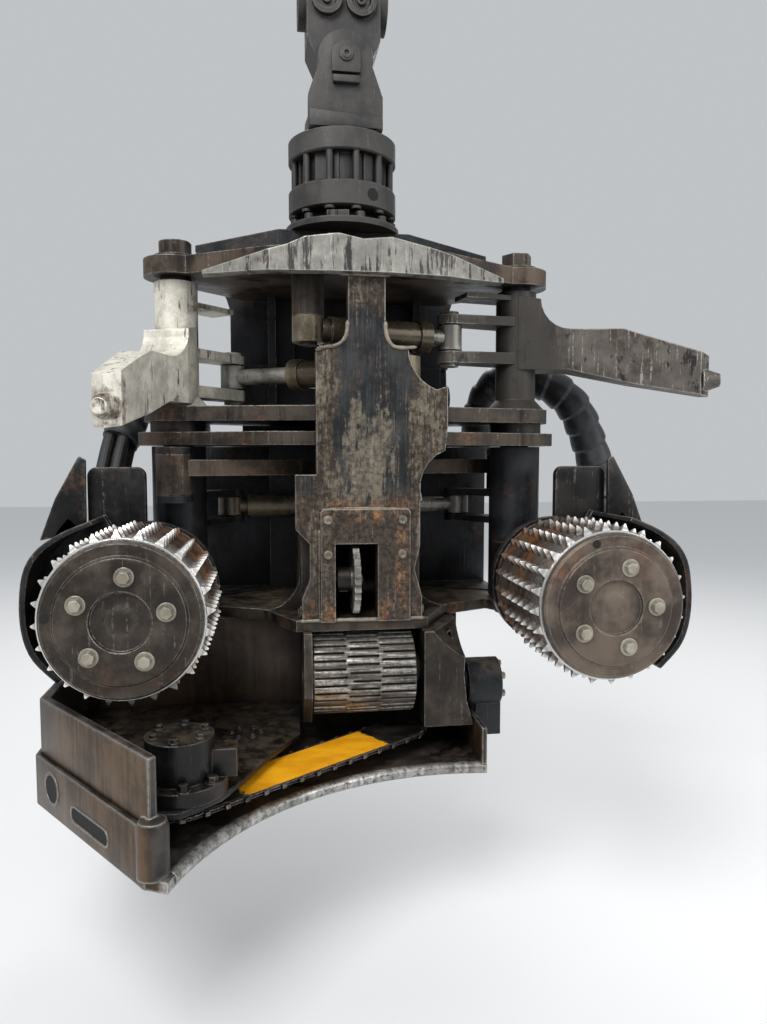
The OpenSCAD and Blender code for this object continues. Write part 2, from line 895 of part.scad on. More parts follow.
// Timing link from the left arm's front lug to the right arm's rear lug
module timing_link() {
    reach = span([-pin_x, pin_y - timing_r], [pin_x, pin_y + timing_r]);
    turn = heading([-pin_x, pin_y - timing_r], [pin_x, pin_y + timing_r]);
    z = arm_lug_z[1] + arm_lug_t[1] + face_gap;
    boss_h = arm_lug_z[0] - face_gap - z;
    color(worn)
    translate([-pin_x, pin_y - timing_r, z])
        rotate(turn)
            difference() {
                union() {
                    for (end = [0, reach])
                        translate([end, 0, 0])
                            cylinder(r = 38, h = boss_h);
                    translate([0, -24, boss_h - 48])
                        cube([reach, 48, 36]);
                }
                translate([0, 0, -1])
                    cylinder(r = cyl_pin_r + pin_fit, h = boss_h + 2);
            }
}

module arm_barrel() {
    color(tan_steel)
    translate([arm_cyl_pin[0], arm_cyl_pin[1], arm_cyl_z])
        barrel(330, 30, 32, 46, cyl_pin_r + pin_fit);
    color(worn)
    translate([arm_cyl_pin[0], arm_cyl_pin[1], arm_cyl_z - 40])
        cylinder(r = cyl_pin_r, h = 80);
}

module arm_rod() {
    color(bare)
    translate([arm_cyl_pin[0], arm_cyl_pin[1], arm_cyl_z])
        rod(140, -2 * arm_cyl_pin[0], 30, 46, arm_lug_z[1] - arm_lug_z[2] - arm_lug_t[2]);
}

// Bolted plate on the spine's foot, slotted for the measuring wheel
module slide_plate() {
    y = spine_front - seat - 10;
    color(tan_steel)
    difference() {
        front_plate([[-92, -1532], [-92, -1292], [-86, -1286], [98, -1286], [104, -1292], [104, -1532],
            [32, -1532], [32, -1362], [-60, -1362], [-60, -1532]], y, 10);
        for (x = [-76, 86])
            for (z = [-1310, -1385])
                translate([x, 0, z])
                    bar_y(8, y - 1, y + 12);
    }
}

// Arm that carries the measuring wheel beside its slot
module measuring_arm() {
    color(dark)
    translate([0, -425, -1443]) {
        difference() {
            union() {
                bar_x(26, -54, -26);
                side_plate([[-10, -26], [120, -60], [120, -20], [10, 26]], -50, 20);
            }
            bar_x(9 + pin_fit, -56, -20);
        }
        translate([0, 120, -40])
            bar_x(24, -114, 114);
    }
}

module measuring_wheel() {
    color(bare)
    translate([-22, -425, -1443]) {
        rotate([90, 0, 90])
            linear_extrude(14)
                polygon(star(26, 68, 76, 0));
        bar_x(9, -34, 24);
        bar_x(26, -3.5, 18);
    }
}

// A feed roller swung fully in, drawn on the right, to cut its way out of the cheek
module closed_roller(gap) {
    translate([pin_x, pin_y, roller_z])
        rotate(-30)
            translate([roller_x - pin_x, 0, 0])
                bar_y(roller_d / 2 + gap, roller_front - pin_y - gap, roller_back - pin_y + gap);
}

// Cheeks of the frame roller: a plate on the left and a hollowed block on the right
module roller_cheeks() {
    left = [[-470, bottom_z], [-480, -1590], [-486, -1690], [-440, -1757], [box_wall_y, -1757],
        [box_wall_y, bottom_z]];
    right = [[131, bottom_z], [131, -1765], [241, -1765], [226, -1710], [220, -1650], [223, -1600], [231, bottom_z]];
    color(worn)
    difference() {
        union() {
            side_plate(left, -130, 18);
            front_plate(right, -486, 486 + box_wall_y);
        }
        translate([0, frame_roller_y, frame_roller_z])
            bar_x(30 + pin_fit, -140, 250);
        translate([146, -440, -1752])
            cube([58, 440 + box_wall_y + 1, 184]);
        translate([0, frame_roller_y, drive_z])
            bar_x(34 + seat, 212, 260);
        closed_roller(6);
    }
}

// Ribbed roller in the frame
module frame_roller() {
    color(bare)
    translate([0, frame_roller_y, frame_roller_z]) {
        rotate([90, 0, 90])
            translate([0, 0, -108])
                linear_extrude(228)
                    polygon(star(ribs, frame_roller_d / 2 - 12, frame_roller_d / 2, 10));
        bar_x(30, -128, 206);
    }
}

// Motor of the frame roller, set below its axis, and the scoop under it
module frame_roller_motor() {
    color(dark)
    translate([0, frame_roller_y, drive_z]) {
        bar_x(54, 241 + seat, 318);
        bar_x(34, 212 + seat, 242);
        translate([262, -30, -118])
            cube([58, 100, 76]);
    }
}

// Walls of the saw box
module saw_box() {
    corner = [-390, -900];
    outer = [-645, -560];
    t = box_t;
    color(worn) {
        difference() {
            plate([outer, corner, [corner[0] + t, corner[1] + t], [outer[0] + 1.6 * t, outer[1] + t * 0.4],
                [outer[0] + 1.6 * t, box_wall_y], [outer[0], box_wall_y]], skid_z + skid_t, 192);
            translate([-600, -590, -1740])
                rotate([0, 0, -53])
                    bar_y(22, -60, 60);
        }
        translate([corner[0] + 4, corner[1] + 8, skid_z + skid_t])
            cylinder(r = 26, h = 192);
        front_plate([[outer[0], -1640], [-400, -1600], [-250, -1568], [-200, bottom_z],
            [256, bottom_z], [256, skid_z + skid_t], [outer[0], skid_z + skid_t]],
            box_wall_y, box_t);
        translate([244, -548, skid_z + skid_t])
            cube([12, 548 + box_wall_y, 82]);
    }
}

// Plate that carries the saw motor, over the bar
module saw_motor_plate() {
    color(worn)
    difference() {
        plate(concat([[-622, box_wall_y], [-622, -552], [-410, -838]],
            arc([-360, -640], 190, -84, -10, 8), [[-130, -560], [-130, box_wall_y]]), motor_plate_z, 12);
        translate([bar_pivot[0], bar_pivot[1], motor_plate_z - 1])
            cylinder(r = 24, h = 14);
        translate([-255, -480, motor_plate_z - 1])
            cylinder(r = 16, h = 14);
    }
}

// Lower skid plate with the hollow front edge that the log slides along
module skid_plate() {
    color(worn)
    difference() {
        plate([[-645, box_wall_y], [-645, -560], [-402, -900], [-352, -924], [-300, -900], [256, -700],
            [256, box_wall_y]], skid_z, skid_t);
        translate([169, -1101, skid_z - 1])
            cylinder(r = skid_hollow_r, h = skid_t + 2, $fn = 96);
        translate([-430, -790, skid_z - 1])
            cylinder(r = 34, h = skid_t + 2);
    }
}

module saw_motor() {
    top = motor_plate_z + 12 + seat;
    color(dark)
    translate([bar_pivot[0], bar_pivot[1], top]) {
        cylinder(r = 84, h = 26);
        cylinder(r = 60, h = 100);
        translate([20, -20, 26])
            cube([80, 44, 50]);
    }
}

module saw_bar() {
    color(yellow)
    translate([bar_pivot[0], bar_pivot[1], bar_z])
        rotate(bar_angle) {
            cylinder(r = bar_w / 2, h = bar_t);
            translate([bar_reach - bar_w / 2, 0, 0])
                cylinder(r = bar_w / 2, h = bar_t);
            translate([0, -bar_w / 2, 0])
                cube([bar_reach - bar_w / 2, bar_w, bar_t]);
            translate([0, 0, -8])
                cylinder(r = 40, h = 8);
            cylinder(r = 24 - pin_fit, h = motor_plate_z + 12 - bar_z);
        }
}

module saw_chain() {
    tip = bar_reach - bar_w / 2;
    color(dark)
    translate([bar_pivot[0], bar_pivot[1], bar_z - 1])
        rotate(bar_angle)
            difference() {
                union() {
                    cylinder(r = bar_w / 2 + 12, h = bar_t + 2);
                    translate([tip, 0, 0])
                        cylinder(r = bar_w / 2 + 12, h = bar_t + 2);
                    translate([0, -bar_w / 2 - 12, 0])
                        cube([tip, bar_w + 24, bar_t + 2]);
                }
                translate([0, 0, -1]) {
                    cylinder(r = bar_w / 2 + seat, h = bar_t + 4);
                    translate([tip, 0, 0])
                        cylinder(r = bar_w / 2 + seat, h = bar_t + 4);
                    translate([0, -bar_w / 2 - seat, 0])
                        cube([tip, bar_w + 2 * seat, bar_t + 4]);
                }
            }
}

crane_link();
rotator_ears();
swing_pin();
rotator_body();
rotor_flange();
hanger();
tilt_pins();
tilt_barrels();
tilt_rods();
spine_plate();
top_plate();
fixed_knife();
knife_shelf();
middle_plate();
core_box();
bottom_plate();
back_wall();
valve_block();
knife_pin_left();
knife_pin_right();
cylinder_pins();
knife_left();
knife_right();
knife_barrel_left();
knife_barrel_right();
knife_rod_left();
knife_rod_right();
arm_left();
arm_right();
roller_guard_left();
roller_guard_right();
roller_motor_left();
roller_motor_right();
feed_roller_left();
feed_roller_right();
roller_cover_left();
roller_cover_right();
timing_link();
arm_barrel();
arm_rod();
slide_plate();
measuring_arm();
measuring_wheel();
roller_cheeks();
frame_roller();
frame_roller_motor();
saw_box();
saw_motor_plate();
skid_plate();
saw_motor();
saw_bar();
saw_chain();
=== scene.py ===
# %% [markdown]
# # A timber harvester head, hung from its crane tip
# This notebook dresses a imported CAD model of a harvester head: the tool that grips a standing
# tree, fells it with a chainsaw bar, pulls the stem through with two spiked rollers and strips
# its branches with curved knives. The CAD model already holds every plate, pin and joint in its
# real place, in metres, so it is loaded first and never moved. What this file adds is the small
# detail that a workshop would call hardware, and the finish: grease, rust, bare worn steel.

# %% Load the frame
import math

import bmesh
import bpy
from mathutils import Matrix, Vector, noise


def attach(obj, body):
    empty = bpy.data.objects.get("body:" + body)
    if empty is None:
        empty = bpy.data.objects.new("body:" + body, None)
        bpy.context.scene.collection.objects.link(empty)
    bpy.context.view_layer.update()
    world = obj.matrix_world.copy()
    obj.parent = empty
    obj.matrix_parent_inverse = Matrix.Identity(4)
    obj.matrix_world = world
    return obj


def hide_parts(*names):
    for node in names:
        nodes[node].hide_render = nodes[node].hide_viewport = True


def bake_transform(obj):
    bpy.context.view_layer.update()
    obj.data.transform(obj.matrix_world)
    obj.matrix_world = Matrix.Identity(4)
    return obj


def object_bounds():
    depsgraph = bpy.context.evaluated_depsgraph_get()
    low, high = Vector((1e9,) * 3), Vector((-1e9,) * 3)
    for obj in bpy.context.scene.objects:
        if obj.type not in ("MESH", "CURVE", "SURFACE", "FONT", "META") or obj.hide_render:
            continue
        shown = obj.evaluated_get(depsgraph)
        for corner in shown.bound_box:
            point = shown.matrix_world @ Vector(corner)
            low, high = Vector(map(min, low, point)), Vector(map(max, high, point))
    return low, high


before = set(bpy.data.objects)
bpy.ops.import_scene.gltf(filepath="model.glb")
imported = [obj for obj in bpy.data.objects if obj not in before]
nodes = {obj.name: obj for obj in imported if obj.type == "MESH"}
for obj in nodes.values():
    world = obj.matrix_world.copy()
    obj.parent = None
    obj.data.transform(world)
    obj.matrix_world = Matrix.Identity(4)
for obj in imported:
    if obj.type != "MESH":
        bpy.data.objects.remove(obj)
cad_low, cad_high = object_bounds()
print("CAD box", [round(v, 3) for v in cad_low], [round(v, 3) for v in cad_high])

# %% [markdown]
# ## Camera
# The photographer stood a little left of the head and held the phone level with its middle, so
# the verticals stay upright and the rotator is seen from below. A 27 mm lens on a 36 mm long
# side gives the same wide view. The camera comes first.

# %% Camera at the photograph's viewing angle
camera_data = bpy.data.cameras.new("camera")
camera_data.sensor_width = 36
camera_data.lens = 27
camera_data.clip_end = 60
camera = bpy.data.objects.new("camera", camera_data)
bpy.context.scene.collection.objects.link(camera)
CAMERA_YAW = math.radians(8.3)
CAMERA_DROP = math.radians(4.24)
look = Vector((math.sin(CAMERA_YAW) * math.cos(CAMERA_DROP),
               math.cos(CAMERA_YAW) * math.cos(CAMERA_DROP), -math.sin(CAMERA_DROP)))
camera.location = (-0.195, -2.1, -1.17)
camera.rotation_euler = look.to_track_quat("-Z", "Y").to_euler()
bpy.context.scene.camera = camera

# %% [markdown]
# ## Stage and light
# A studio stand-in for the forest: a pale floor far enough below that the head hangs free, a
# pale world that fills the shadows, and three soft lamps. The key lamp stands high in front, as
# the sky does, so that ledges and edges catch it and the inside stays dark. The rim lamp behind
# draws the outline of the dark steel.

# %% Floor, world and lamps
FLOOR_DROP = 0.35
floor_mesh = bmesh.new()
bmesh.ops.create_grid(floor_mesh, x_segments=1, y_segments=1, size=14)
floor_data = bpy.data.meshes.new("floor")
floor_mesh.to_mesh(floor_data)
floor_mesh.free()
floor_data.transform(Matrix.Translation((0, 0, cad_low.z - FLOOR_DROP)))
floor = bpy.data.objects.new("floor", floor_data)
bpy.context.scene.collection.objects.link(floor)

world = bpy.data.worlds.new("pale_world")
bpy.context.scene.world = world
world.use_nodes = True
world.node_tree.nodes["Background"].inputs["Color"].default_value = (0.80, 0.83, 0.86, 1)
world.node_tree.nodes["Background"].inputs["Strength"].default_value = 0.66


def soft_lamp(name, place, aim, size, watts):
    """An area lamp at a place, turned at a point on the head."""
    data = bpy.data.lights.new(name, "AREA")
    data.size, data.energy = size, watts
    lamp = bpy.data.objects.new(name, data)
    lamp.location = place
    lamp.rotation_euler = (Vector(aim) - Vector(place)).to_track_quat("-Z", "Y").to_euler()
    bpy.context.scene.collection.objects.link(lamp)


HEAD_MIDDLE = (0, -0.2, -1.1)
soft_lamp("key", (-1.5, -2.9, 1.9), HEAD_MIDDLE, 2.4, 150)
soft_lamp("fill", (2.8, -2.4, 0.2), HEAD_MIDDLE, 2.6, 50)
soft_lamp("rim", (0.6, 2.6, 1.4), HEAD_MIDDLE, 2.0, 70)
bpy.context.scene.view_settings.view_transform = "Standard"

# %% [markdown]
# ## Shader maths as Python
# A material in Blender is a graph of small nodes. Long graphs are hard to read as a list of
# links, so one class wraps a node's output and lets plus, minus and times add the Math nodes.
# Every other node comes from one method that sets its settings first and its sockets after.


# %% The class that wraps a socket
def rgba(colour):
    return (*colour[:3], 1.0)


class Flow:
    """A socket in a material, with arithmetic."""

    def __init__(self, tree, socket=None):
        self.tree, self.socket = tree, socket

    def node(self, kind, settings=None, out=0, **sockets):
        """Add a node. Settings go in first, then the sockets' values or links."""
        made = self.tree.nodes.new("ShaderNode" + kind)
        for key, value in (settings or {}).items():
            setattr(made, key, value)
        for key, value in sockets.items():
            numbered = key[0] == "i" and key[1:].isdigit()
            socket = made.inputs[int(key[1:]) if numbered else key.replace("_", " ")]
            if isinstance(value, Flow):
                self.tree.links.new(value.socket, socket)
            elif isinstance(value, (tuple, list)) and len(socket.default_value) == 4:
                socket.default_value = rgba(value)
            else:
                socket.default_value = value
        return Flow(self.tree, made.outputs[out])

    def math(self, operation, *values, clamp=False):
        places = {f"i{k}": value for k, value in enumerate(values)}
        return self.node("Math", {"operation": operation, "use_clamp": clamp}, **places)

    def __add__(self, other):
        return self.math("ADD", self, other)

    def __sub__(self, other):
        return self.math("SUBTRACT", self, other)

    def __mul__(self, other):
        return self.math("MULTIPLY", self, other)

    def __radd__(self, other):
        return self.math("ADD", other, self)

    def __rsub__(self, other):
        return self.math("SUBTRACT", other, self)

    def __rmul__(self, other):
        return self.math("MULTIPLY", other, self)

    def __abs__(self):
        return self.math("ABSOLUTE", self)

    def __or__(self, other):
        """The larger of two masks."""
        return self.math("MAXIMUM", self, other)

    def clamp(self):
        return self.math("ADD", self, 0.0, clamp=True)

    def ramp(self, low, high):
        """0 at low, 1 at high, smooth between; low may lie above high."""
        settings = {"interpolation_type": "SMOOTHSTEP"}
        if low > high:
            return 1 - self.node("MapRange", settings, Value=self, From_Min=high, From_Max=low)
        return self.node("MapRange", settings, Value=self, From_Min=low, From_Max=high)

    def near(self, middle, full, none):
        """1 within full of a middle value, 0 beyond none."""
        return abs(self - middle).ramp(none, full)

    def mix(self, first, second):
        """Blend two colours by this value."""
        return self.node("MixRGB", Fac=self, Color1=first, Color2=second)


# %% [markdown]
# ## The ingredients of worn steel
# Worn steel is layers: a base colour that drifts over a hand's width, streaks that logs and rain
# draw down the plates, painted shade in the corners, bright worn metal on the edges that is also
# painted paler as a highlight, and rust where water stands. Each layer is a mask in Object
# coordinates, which are the model's own metres, so nothing slides when the head moves.


# %% Masks that all finishes share
class Finish:
    """A material being mixed: coordinates, noises and masks by name."""

    def __init__(self, name):
        self.material = bpy.data.materials.new(name)
        self.material.use_nodes = True
        self.tree = self.material.node_tree
        self.shader = self.tree.nodes["Principled BSDF"]
        self.start = Flow(self.tree)
        self.place = self.start.node("TexCoord", None, 3)
        self.x, self.y, self.z = (self.start.node("SeparateXYZ", None, k, Vector=self.place)
                                  for k in range(3))

    def noise(self, scale, detail=4.0, rough=0.6, along=None):
        """Noise between 0 and 1; along squeezes it, so a small number draws a streak that way."""
        where = self.start.node("Mapping", Vector=self.place, Scale=along) if along else self.place
        return self.start.node("TexNoise", Vector=where, Scale=scale, Detail=detail,
                               Roughness=rough)

    def distance(self, first, second):
        """How far a point lies from an axis, from its two offsets."""
        return self.start.math("SQRT", first * first + second * second)

    def facing(self, direction):
        """1 on faces that look in a direction, 0 on those that look away."""
        normal = self.start.node("TexCoord", None, 1)
        turned = self.start.node("VectorMath", {"operation": "DOT_PRODUCT"}, 1, i0=normal,
                                 i1=direction)
        return turned.ramp(0.3, 0.9)

    def edges(self, radius=0.004):
        """1 on outer edges, from the angle between the rounded normal and the flat one."""
        soft = self.start.node("Bevel", {"samples": 4}, Radius=radius)
        flat = self.start.node("NewGeometry", None, 3)
        bend = self.start.node("VectorMath", {"operation": "DOT_PRODUCT"}, 1, i0=soft, i1=flat)
        return (1 - bend).ramp(0.01, 0.16)

    def corners(self, reach=0.05):
        """1 in inner corners, from ambient occlusion: the mask for painted shade."""
        shade = self.start.node("AmbientOcclusion", {"samples": 4}, 1, Distance=reach)
        return shade.ramp(0.85, 0.3)

    def done(self, colour, rough, metal, bump=None, height=0.3, reach=0.002, round_edges=0.003):
        """Link the layers to the shader and give the material back."""
        for name, value in (("Base Color", colour), ("Roughness", rough), ("Metallic", metal)):
            socket = self.shader.inputs[name]
            if isinstance(value, Flow):
                self.tree.links.new(value.socket, socket)
            else:
                socket.default_value = rgba(value) if name == "Base Color" else value
        relief = {}
        if round_edges:
            relief["Normal"] = self.start.node("Bevel", {"samples": 4}, Radius=round_edges)
        if bump is not None:
            relief["Normal"] = self.start.node("Bump", Strength=height, Distance=reach, Height=bump,
                                               **relief)
        if relief:
            self.tree.links.new(relief["Normal"].socket, self.shader.inputs["Normal"])
        return self.material


# %% [markdown]
# ## Plate steel
# Most plates were black once and are now greasy brown, with dirt lying on their top faces and
# pale rubbed edges, painted paler still as a highlight; painted shade makes the hollows nearly
# black. One function mixes that finish between two colours, and its numbers say how much rust,
# streak, dust and bright edge a plate has.

# %% The finish of most plates
# The near-black that painted shade in corners and hollows mixes towards.
SHADE_BLACK = (0.006, 0.006, 0.007)
RUST = (0.22, 0.075, 0.022)
PALE = (0.50, 0.47, 0.42)


def worn_steel(name, dark, light, rust=0.4, streak=0.6, gloss=0.38, bright=0.6, dust=0.5,
               corner_shade_reach=0.07):
    """Steel between a dark and a light colour, more rusty or more bright as asked."""
    f = Finish(name)
    patches = f.noise(8, 6, 0.65).ramp(0.40, 0.62)
    fine = f.noise(95, 5, 0.7)
    runs = f.noise(24, 4, 0.7, along=(1, 1, 0.09)).ramp(0.48, 0.66)
    scratch = f.noise(170, 2, 0.6, along=(1, 1, 0.04)).ramp(0.60, 0.70)
    rusty = (f.noise(5.5, 5, 0.7).ramp(0.54, 0.68) * fine.ramp(0.40, 0.58) * rust).clamp()
    settled = f.facing((0, 0, 1)) * f.noise(30, 5, 0.7).ramp(0.38, 0.62) * dust
    # Worn bare edges, also painted paler to stand in for the highlights on them.
    rubbed_and_highlit = (f.edges() * fine.ramp(0.34, 0.56) * bright).clamp()
    # Painted shade: ambient occlusion marks the inner corners.
    corner_shade = f.corners(corner_shade_reach)
    colour = rusty.mix(patches.mix(dark, light), RUST)
    colour = (runs * streak).mix(colour, tuple(0.35 * c for c in dark))
    colour = (scratch * fine.ramp(0.45, 0.62) * bright * 0.22).mix(colour, PALE)
    colour = settled.mix(colour, (0.17, 0.13, 0.085))
    colour = rubbed_and_highlit.mix(colour, PALE)
    # Painted shade darkens the corners towards near black.
    colour = (corner_shade * 0.88).mix(colour, SHADE_BLACK)
    rough = (gloss + patches * 0.20 - runs * 0.12 + rusty * 0.25 + settled * 0.3).clamp()
    metal = (0.5 + rubbed_and_highlit * 0.45 - rusty * 0.4 - settled * 0.4).clamp()
    return f.done(colour, rough, metal, bump=fine * 0.5 + patches * 0.6 - scratch * 0.3, height=0.4)


frame_steel = worn_steel("frame_steel", (0.018, 0.014, 0.011), (0.072, 0.056, 0.043), bright=0.8)
cast_steel = worn_steel("cast_steel", (0.040, 0.038, 0.037), (0.078, 0.074, 0.071), rust=0.12,
                        streak=0.25, gloss=0.52, bright=0.35, dust=0.2)
black_steel = worn_steel("black_steel", (0.010, 0.011, 0.013), (0.026, 0.027, 0.030), rust=0.2,
                         streak=0.3, gloss=0.40, bright=0.35, dust=0.35)
brown_steel = worn_steel("brown_steel", (0.030, 0.021, 0.015), (0.105, 0.076, 0.054), rust=0.5,
                         streak=0.5, bright=0.8)
bright_steel = worn_steel("bright_steel", (0.20, 0.19, 0.17), (0.46, 0.44, 0.40), rust=0.15,
                          streak=0.6, gloss=0.30, bright=0.9, dust=0.2)
barrel_steel = worn_steel("barrel_steel", (0.085, 0.068, 0.045), (0.24, 0.20, 0.135), rust=0.15,
                          streak=0.2, gloss=0.27, bright=0.5, dust=0.1)
weld_metal = worn_steel("weld_metal", (0.070, 0.052, 0.037), (0.26, 0.22, 0.17), rust=0.6,
                        streak=0.1, gloss=0.34, bright=0.6, dust=0.1, corner_shade_reach=0.01)
zinc_steel = worn_steel("zinc_steel", (0.24, 0.215, 0.165), (0.42, 0.385, 0.31), rust=0.5,
                        streak=0.1, gloss=0.36, bright=0.7, dust=0.1, corner_shade_reach=0.012)

# %% [markdown]
# ## Finishes of their own
# Some parts are known by their own marks. The spine is blue-grey with tan scratches down its
# middle and orange rust round the measuring wheel's plate. The fixed knife is rubbed nearly
# white by bark, with black runs. The left knife still has cream paint, the right one is brown,
# and the skid plate shines where logs slide over its hollow edge.


# %% The spine and its slide plate
def spine_finish(name, rust_over, pale):
    f = Finish(name)
    fine = f.noise(110, 5, 0.7)
    streaks = f.noise(36, 6, 0.78, along=(1, 1, 0.26))
    blots = f.noise(52, 6, 0.75)
    threads = f.noise(170, 4, 0.7, along=(1, 1, 0.08))
    hairs = f.noise(230, 2, 0.6, along=(1, 1, 0.03)).ramp(0.58, 0.68)
    middle = (f.x - 0.01).near(0, 0.02, 0.085) * f.z.near(-1.17, 0.07, 0.16)
    sides = f.x.near(-0.085, 0.01, 0.04) | f.x.near(0.15, 0.02, 0.06) | f.z.ramp(-0.90, -0.82)
    low = f.z.ramp(-1.22, -1.32)
    drawn = streaks * 0.50 + threads * 0.24 + blots * 0.26
    tan = (drawn + middle * 0.11 + sides * 0.07).ramp(0.54, 0.62) * pale
    brown = (drawn + sides * 0.14 + low * 0.16).ramp(0.46, 0.60)
    drift = (f.noise(13, 5, 0.6) * 0.6 + threads * 0.4).ramp(0.40, 0.58)
    colour = drift.mix((0.014, 0.016, 0.019), (0.052, 0.052, 0.053))
    old_grease = fine.ramp(0.4, 0.6).mix((0.032, 0.021, 0.014), (0.085, 0.060, 0.042))
    colour = (brown * 0.8).mix(colour, old_grease)
    dry_bark = fine.ramp(0.35, 0.6).mix((0.078, 0.061, 0.040), (0.215, 0.182, 0.132))
    colour = (tan * 0.85).mix(colour, dry_bark)
    beside_wheel = f.x.near(0.085, 0.005, 0.02) * low
    band = f.z.near(-1.292, 0.008, 0.035) | f.z.near(-1.515, 0.01, 0.04) | beside_wheel
    orange = (band * f.noise(24, 5, 0.75).ramp(0.46, 0.60) * rust_over).clamp()
    fresh_rust = fine.ramp(0.4, 0.65).mix((0.095, 0.042, 0.018), (0.26, 0.125, 0.050))
    colour = orange.mix(colour, fresh_rust)
    colour = (hairs * fine.ramp(0.42, 0.6) * 0.30).mix(colour, (0.36, 0.34, 0.30))
    # Worn pale edges, partly a painted highlight.
    rubbed_and_highlit = (f.edges(0.005) * fine.ramp(0.3, 0.5) * 0.9).clamp()
    colour = rubbed_and_highlit.mix(colour, PALE)
    # Painted shade in the corners, towards near black.
    colour = (f.corners(0.03) * 0.8).mix(colour, SHADE_BLACK)
    rough = (0.40 + tan * 0.18 + orange * 0.25 - hairs * 0.1).clamp()
    metal = (0.55 - tan * 0.3 - orange * 0.4 + rubbed_and_highlit * 0.3).clamp()
    return f.done(colour, rough, metal, bump=streaks * 0.6 + fine * 0.5 + orange * 0.8, height=0.5)


spine_steel = spine_finish("spine_steel", 0.8, 0.80)
slide_steel = spine_finish("slide_steel", 1.0, 0.45)


# %% Knives, from rubbed white to brown
KNIFE_PIN_X, KNIFE_PIN_Y = 0.410, -0.230


def knife_finish(name, paint, under, black_share, brown_share, bare, slope=(1, 1, 0.12), hub=0.0):
    f = Finish(name)
    fine = f.noise(90, 5, 0.7)
    chips = f.noise(19, 6, 0.72)
    black_from = 0.66 - 0.2 * black_share
    black = f.noise(44, 5, 0.72, along=slope).ramp(black_from, black_from + 0.06)
    brown_from = 0.66 - 0.25 * brown_share
    brown = f.noise(11, 5, 0.7).ramp(brown_from, brown_from + 0.12)
    colour = chips.ramp(0.36, 0.62).mix(paint, tuple(0.62 * c for c in paint))
    colour = brown.mix(colour, under)
    colour = (black * 0.9).mix(colour, (0.012, 0.010, 0.009))
    scratch = f.noise(190, 2, 0.6, along=(1, 1, 0.05)).ramp(0.57, 0.67) * fine.ramp(0.4, 0.6)
    colour = (scratch * 0.55).mix(colour, bare)
    # Worn bare edges, partly a painted highlight.
    rubbed_and_highlit = (f.edges(0.005) * fine.ramp(0.3, 0.52)).clamp()
    colour = rubbed_and_highlit.mix(colour, tuple(min(1, 1.3 * c) for c in bare))
    if hub:
        near_pin = f.distance(f.x - KNIFE_PIN_X, f.y - KNIFE_PIN_Y).ramp(0.17, 0.09)
        colour = (near_pin * hub).mix(colour, (0.030, 0.026, 0.022))
    # Painted shade in the corners, towards near black.
    colour = (f.corners(0.05) * 0.75).mix(colour, SHADE_BLACK)
    rough = (0.42 + chips * 0.2 - black * 0.12 - rubbed_and_highlit * 0.1).clamp()
    metal = (0.30 + rubbed_and_highlit * 0.5 + scratch * 0.2).clamp()
    return f.done(colour, rough, metal, bump=fine * 0.5 + chips * 0.6 - black * 0.2, height=0.45)


top_blade = knife_finish("top_blade", (0.285, 0.275, 0.245), (0.105, 0.075, 0.055), 0.72, 0.40,
                         (0.50, 0.48, 0.43))
cream_blade = knife_finish("cream_blade", (0.76, 0.72, 0.62), (0.15, 0.105, 0.075), 0.42, 0.40,
                           (0.72, 0.69, 0.62))
brown_blade = knife_finish("brown_blade", (0.125, 0.108, 0.092), (0.050, 0.035, 0.026), 0.50, 0.70,
                           (0.50, 0.47, 0.43), slope=(0.6, 0.6, 0.3), hub=0.90)


# %% Saw box and skid plate
HOLLOW, HOLLOW_R = (0.169, -1.101), 0.560
SKID_Z = -1.850


def box_finish(name):
    f = Finish(name)
    fine = f.noise(100, 5, 0.7)
    brushed = f.noise(70, 3, 0.6, along=(1, 1, 0.06))
    outside = f.facing((-0.8, -0.6, 0))
    blotch = f.noise(9, 6, 0.7)
    colour = (brushed * 0.4 + blotch * 0.6).ramp(0.40, 0.60).mix((0.036, 0.020, 0.010),
                                                                 (0.108, 0.066, 0.035))
    colour = (f.x.ramp(-0.56, -0.66) * 0.6).mix(colour, (0.018, 0.014, 0.010))
    inside = f.noise(7, 5, 0.6).ramp(0.4, 0.6).mix((0.012, 0.011, 0.010), (0.058, 0.050, 0.044))
    colour = outside.mix(inside, colour)
    settled = f.facing((0, 0, 1)) * f.noise(26, 6, 0.75).ramp(0.42, 0.62)
    colour = (settled * 0.55).mix(colour, (0.070, 0.050, 0.038))
    hollow = f.distance(f.x - HOLLOW[0], f.y - HOLLOW[1])
    at_lip = f.z.near(SKID_Z + 0.009, 0.008, 0.02) * f.z.ramp(-1.80, -1.82)
    edge = (hollow.ramp(HOLLOW_R + 0.022, HOLLOW_R + 0.006) * at_lip).clamp()
    uneven = f.noise(9, 4, 0.6).ramp(0.35, 0.6) * 0.5 + 0.35
    polish = (edge * fine.ramp(0.30, 0.56) * uneven).clamp()
    polished = brushed.ramp(0.3, 0.7).mix((0.30, 0.29, 0.275), (0.66, 0.65, 0.63))
    colour = polish.mix(colour, polished)
    # Worn bare edges, partly a painted highlight.
    rubbed_and_highlit = (f.edges(0.006) * fine.ramp(0.28, 0.5) * 0.95).clamp()
    colour = rubbed_and_highlit.mix(colour, (0.56, 0.54, 0.50))
    # Painted shade in the corners, kept off the polished lip.
    colour = (f.corners(0.05) * 0.6 * (1 - polish)).mix(colour, SHADE_BLACK)
    rough = (0.40 - polish * 0.12 + settled * 0.25 - outside * 0.05).clamp()
    metal = (0.45 + polish * 0.5 + rubbed_and_highlit * 0.4 - settled * 0.3).clamp()
    return f.done(colour, rough, metal, bump=brushed * 0.4 + fine * 0.5, height=0.35)


box_steel = box_finish("box_steel")


# %% Frame roller, bright where its bars run on the log
LOG_ROLLER_Y, LOG_ROLLER_Z = -0.400, -1.655


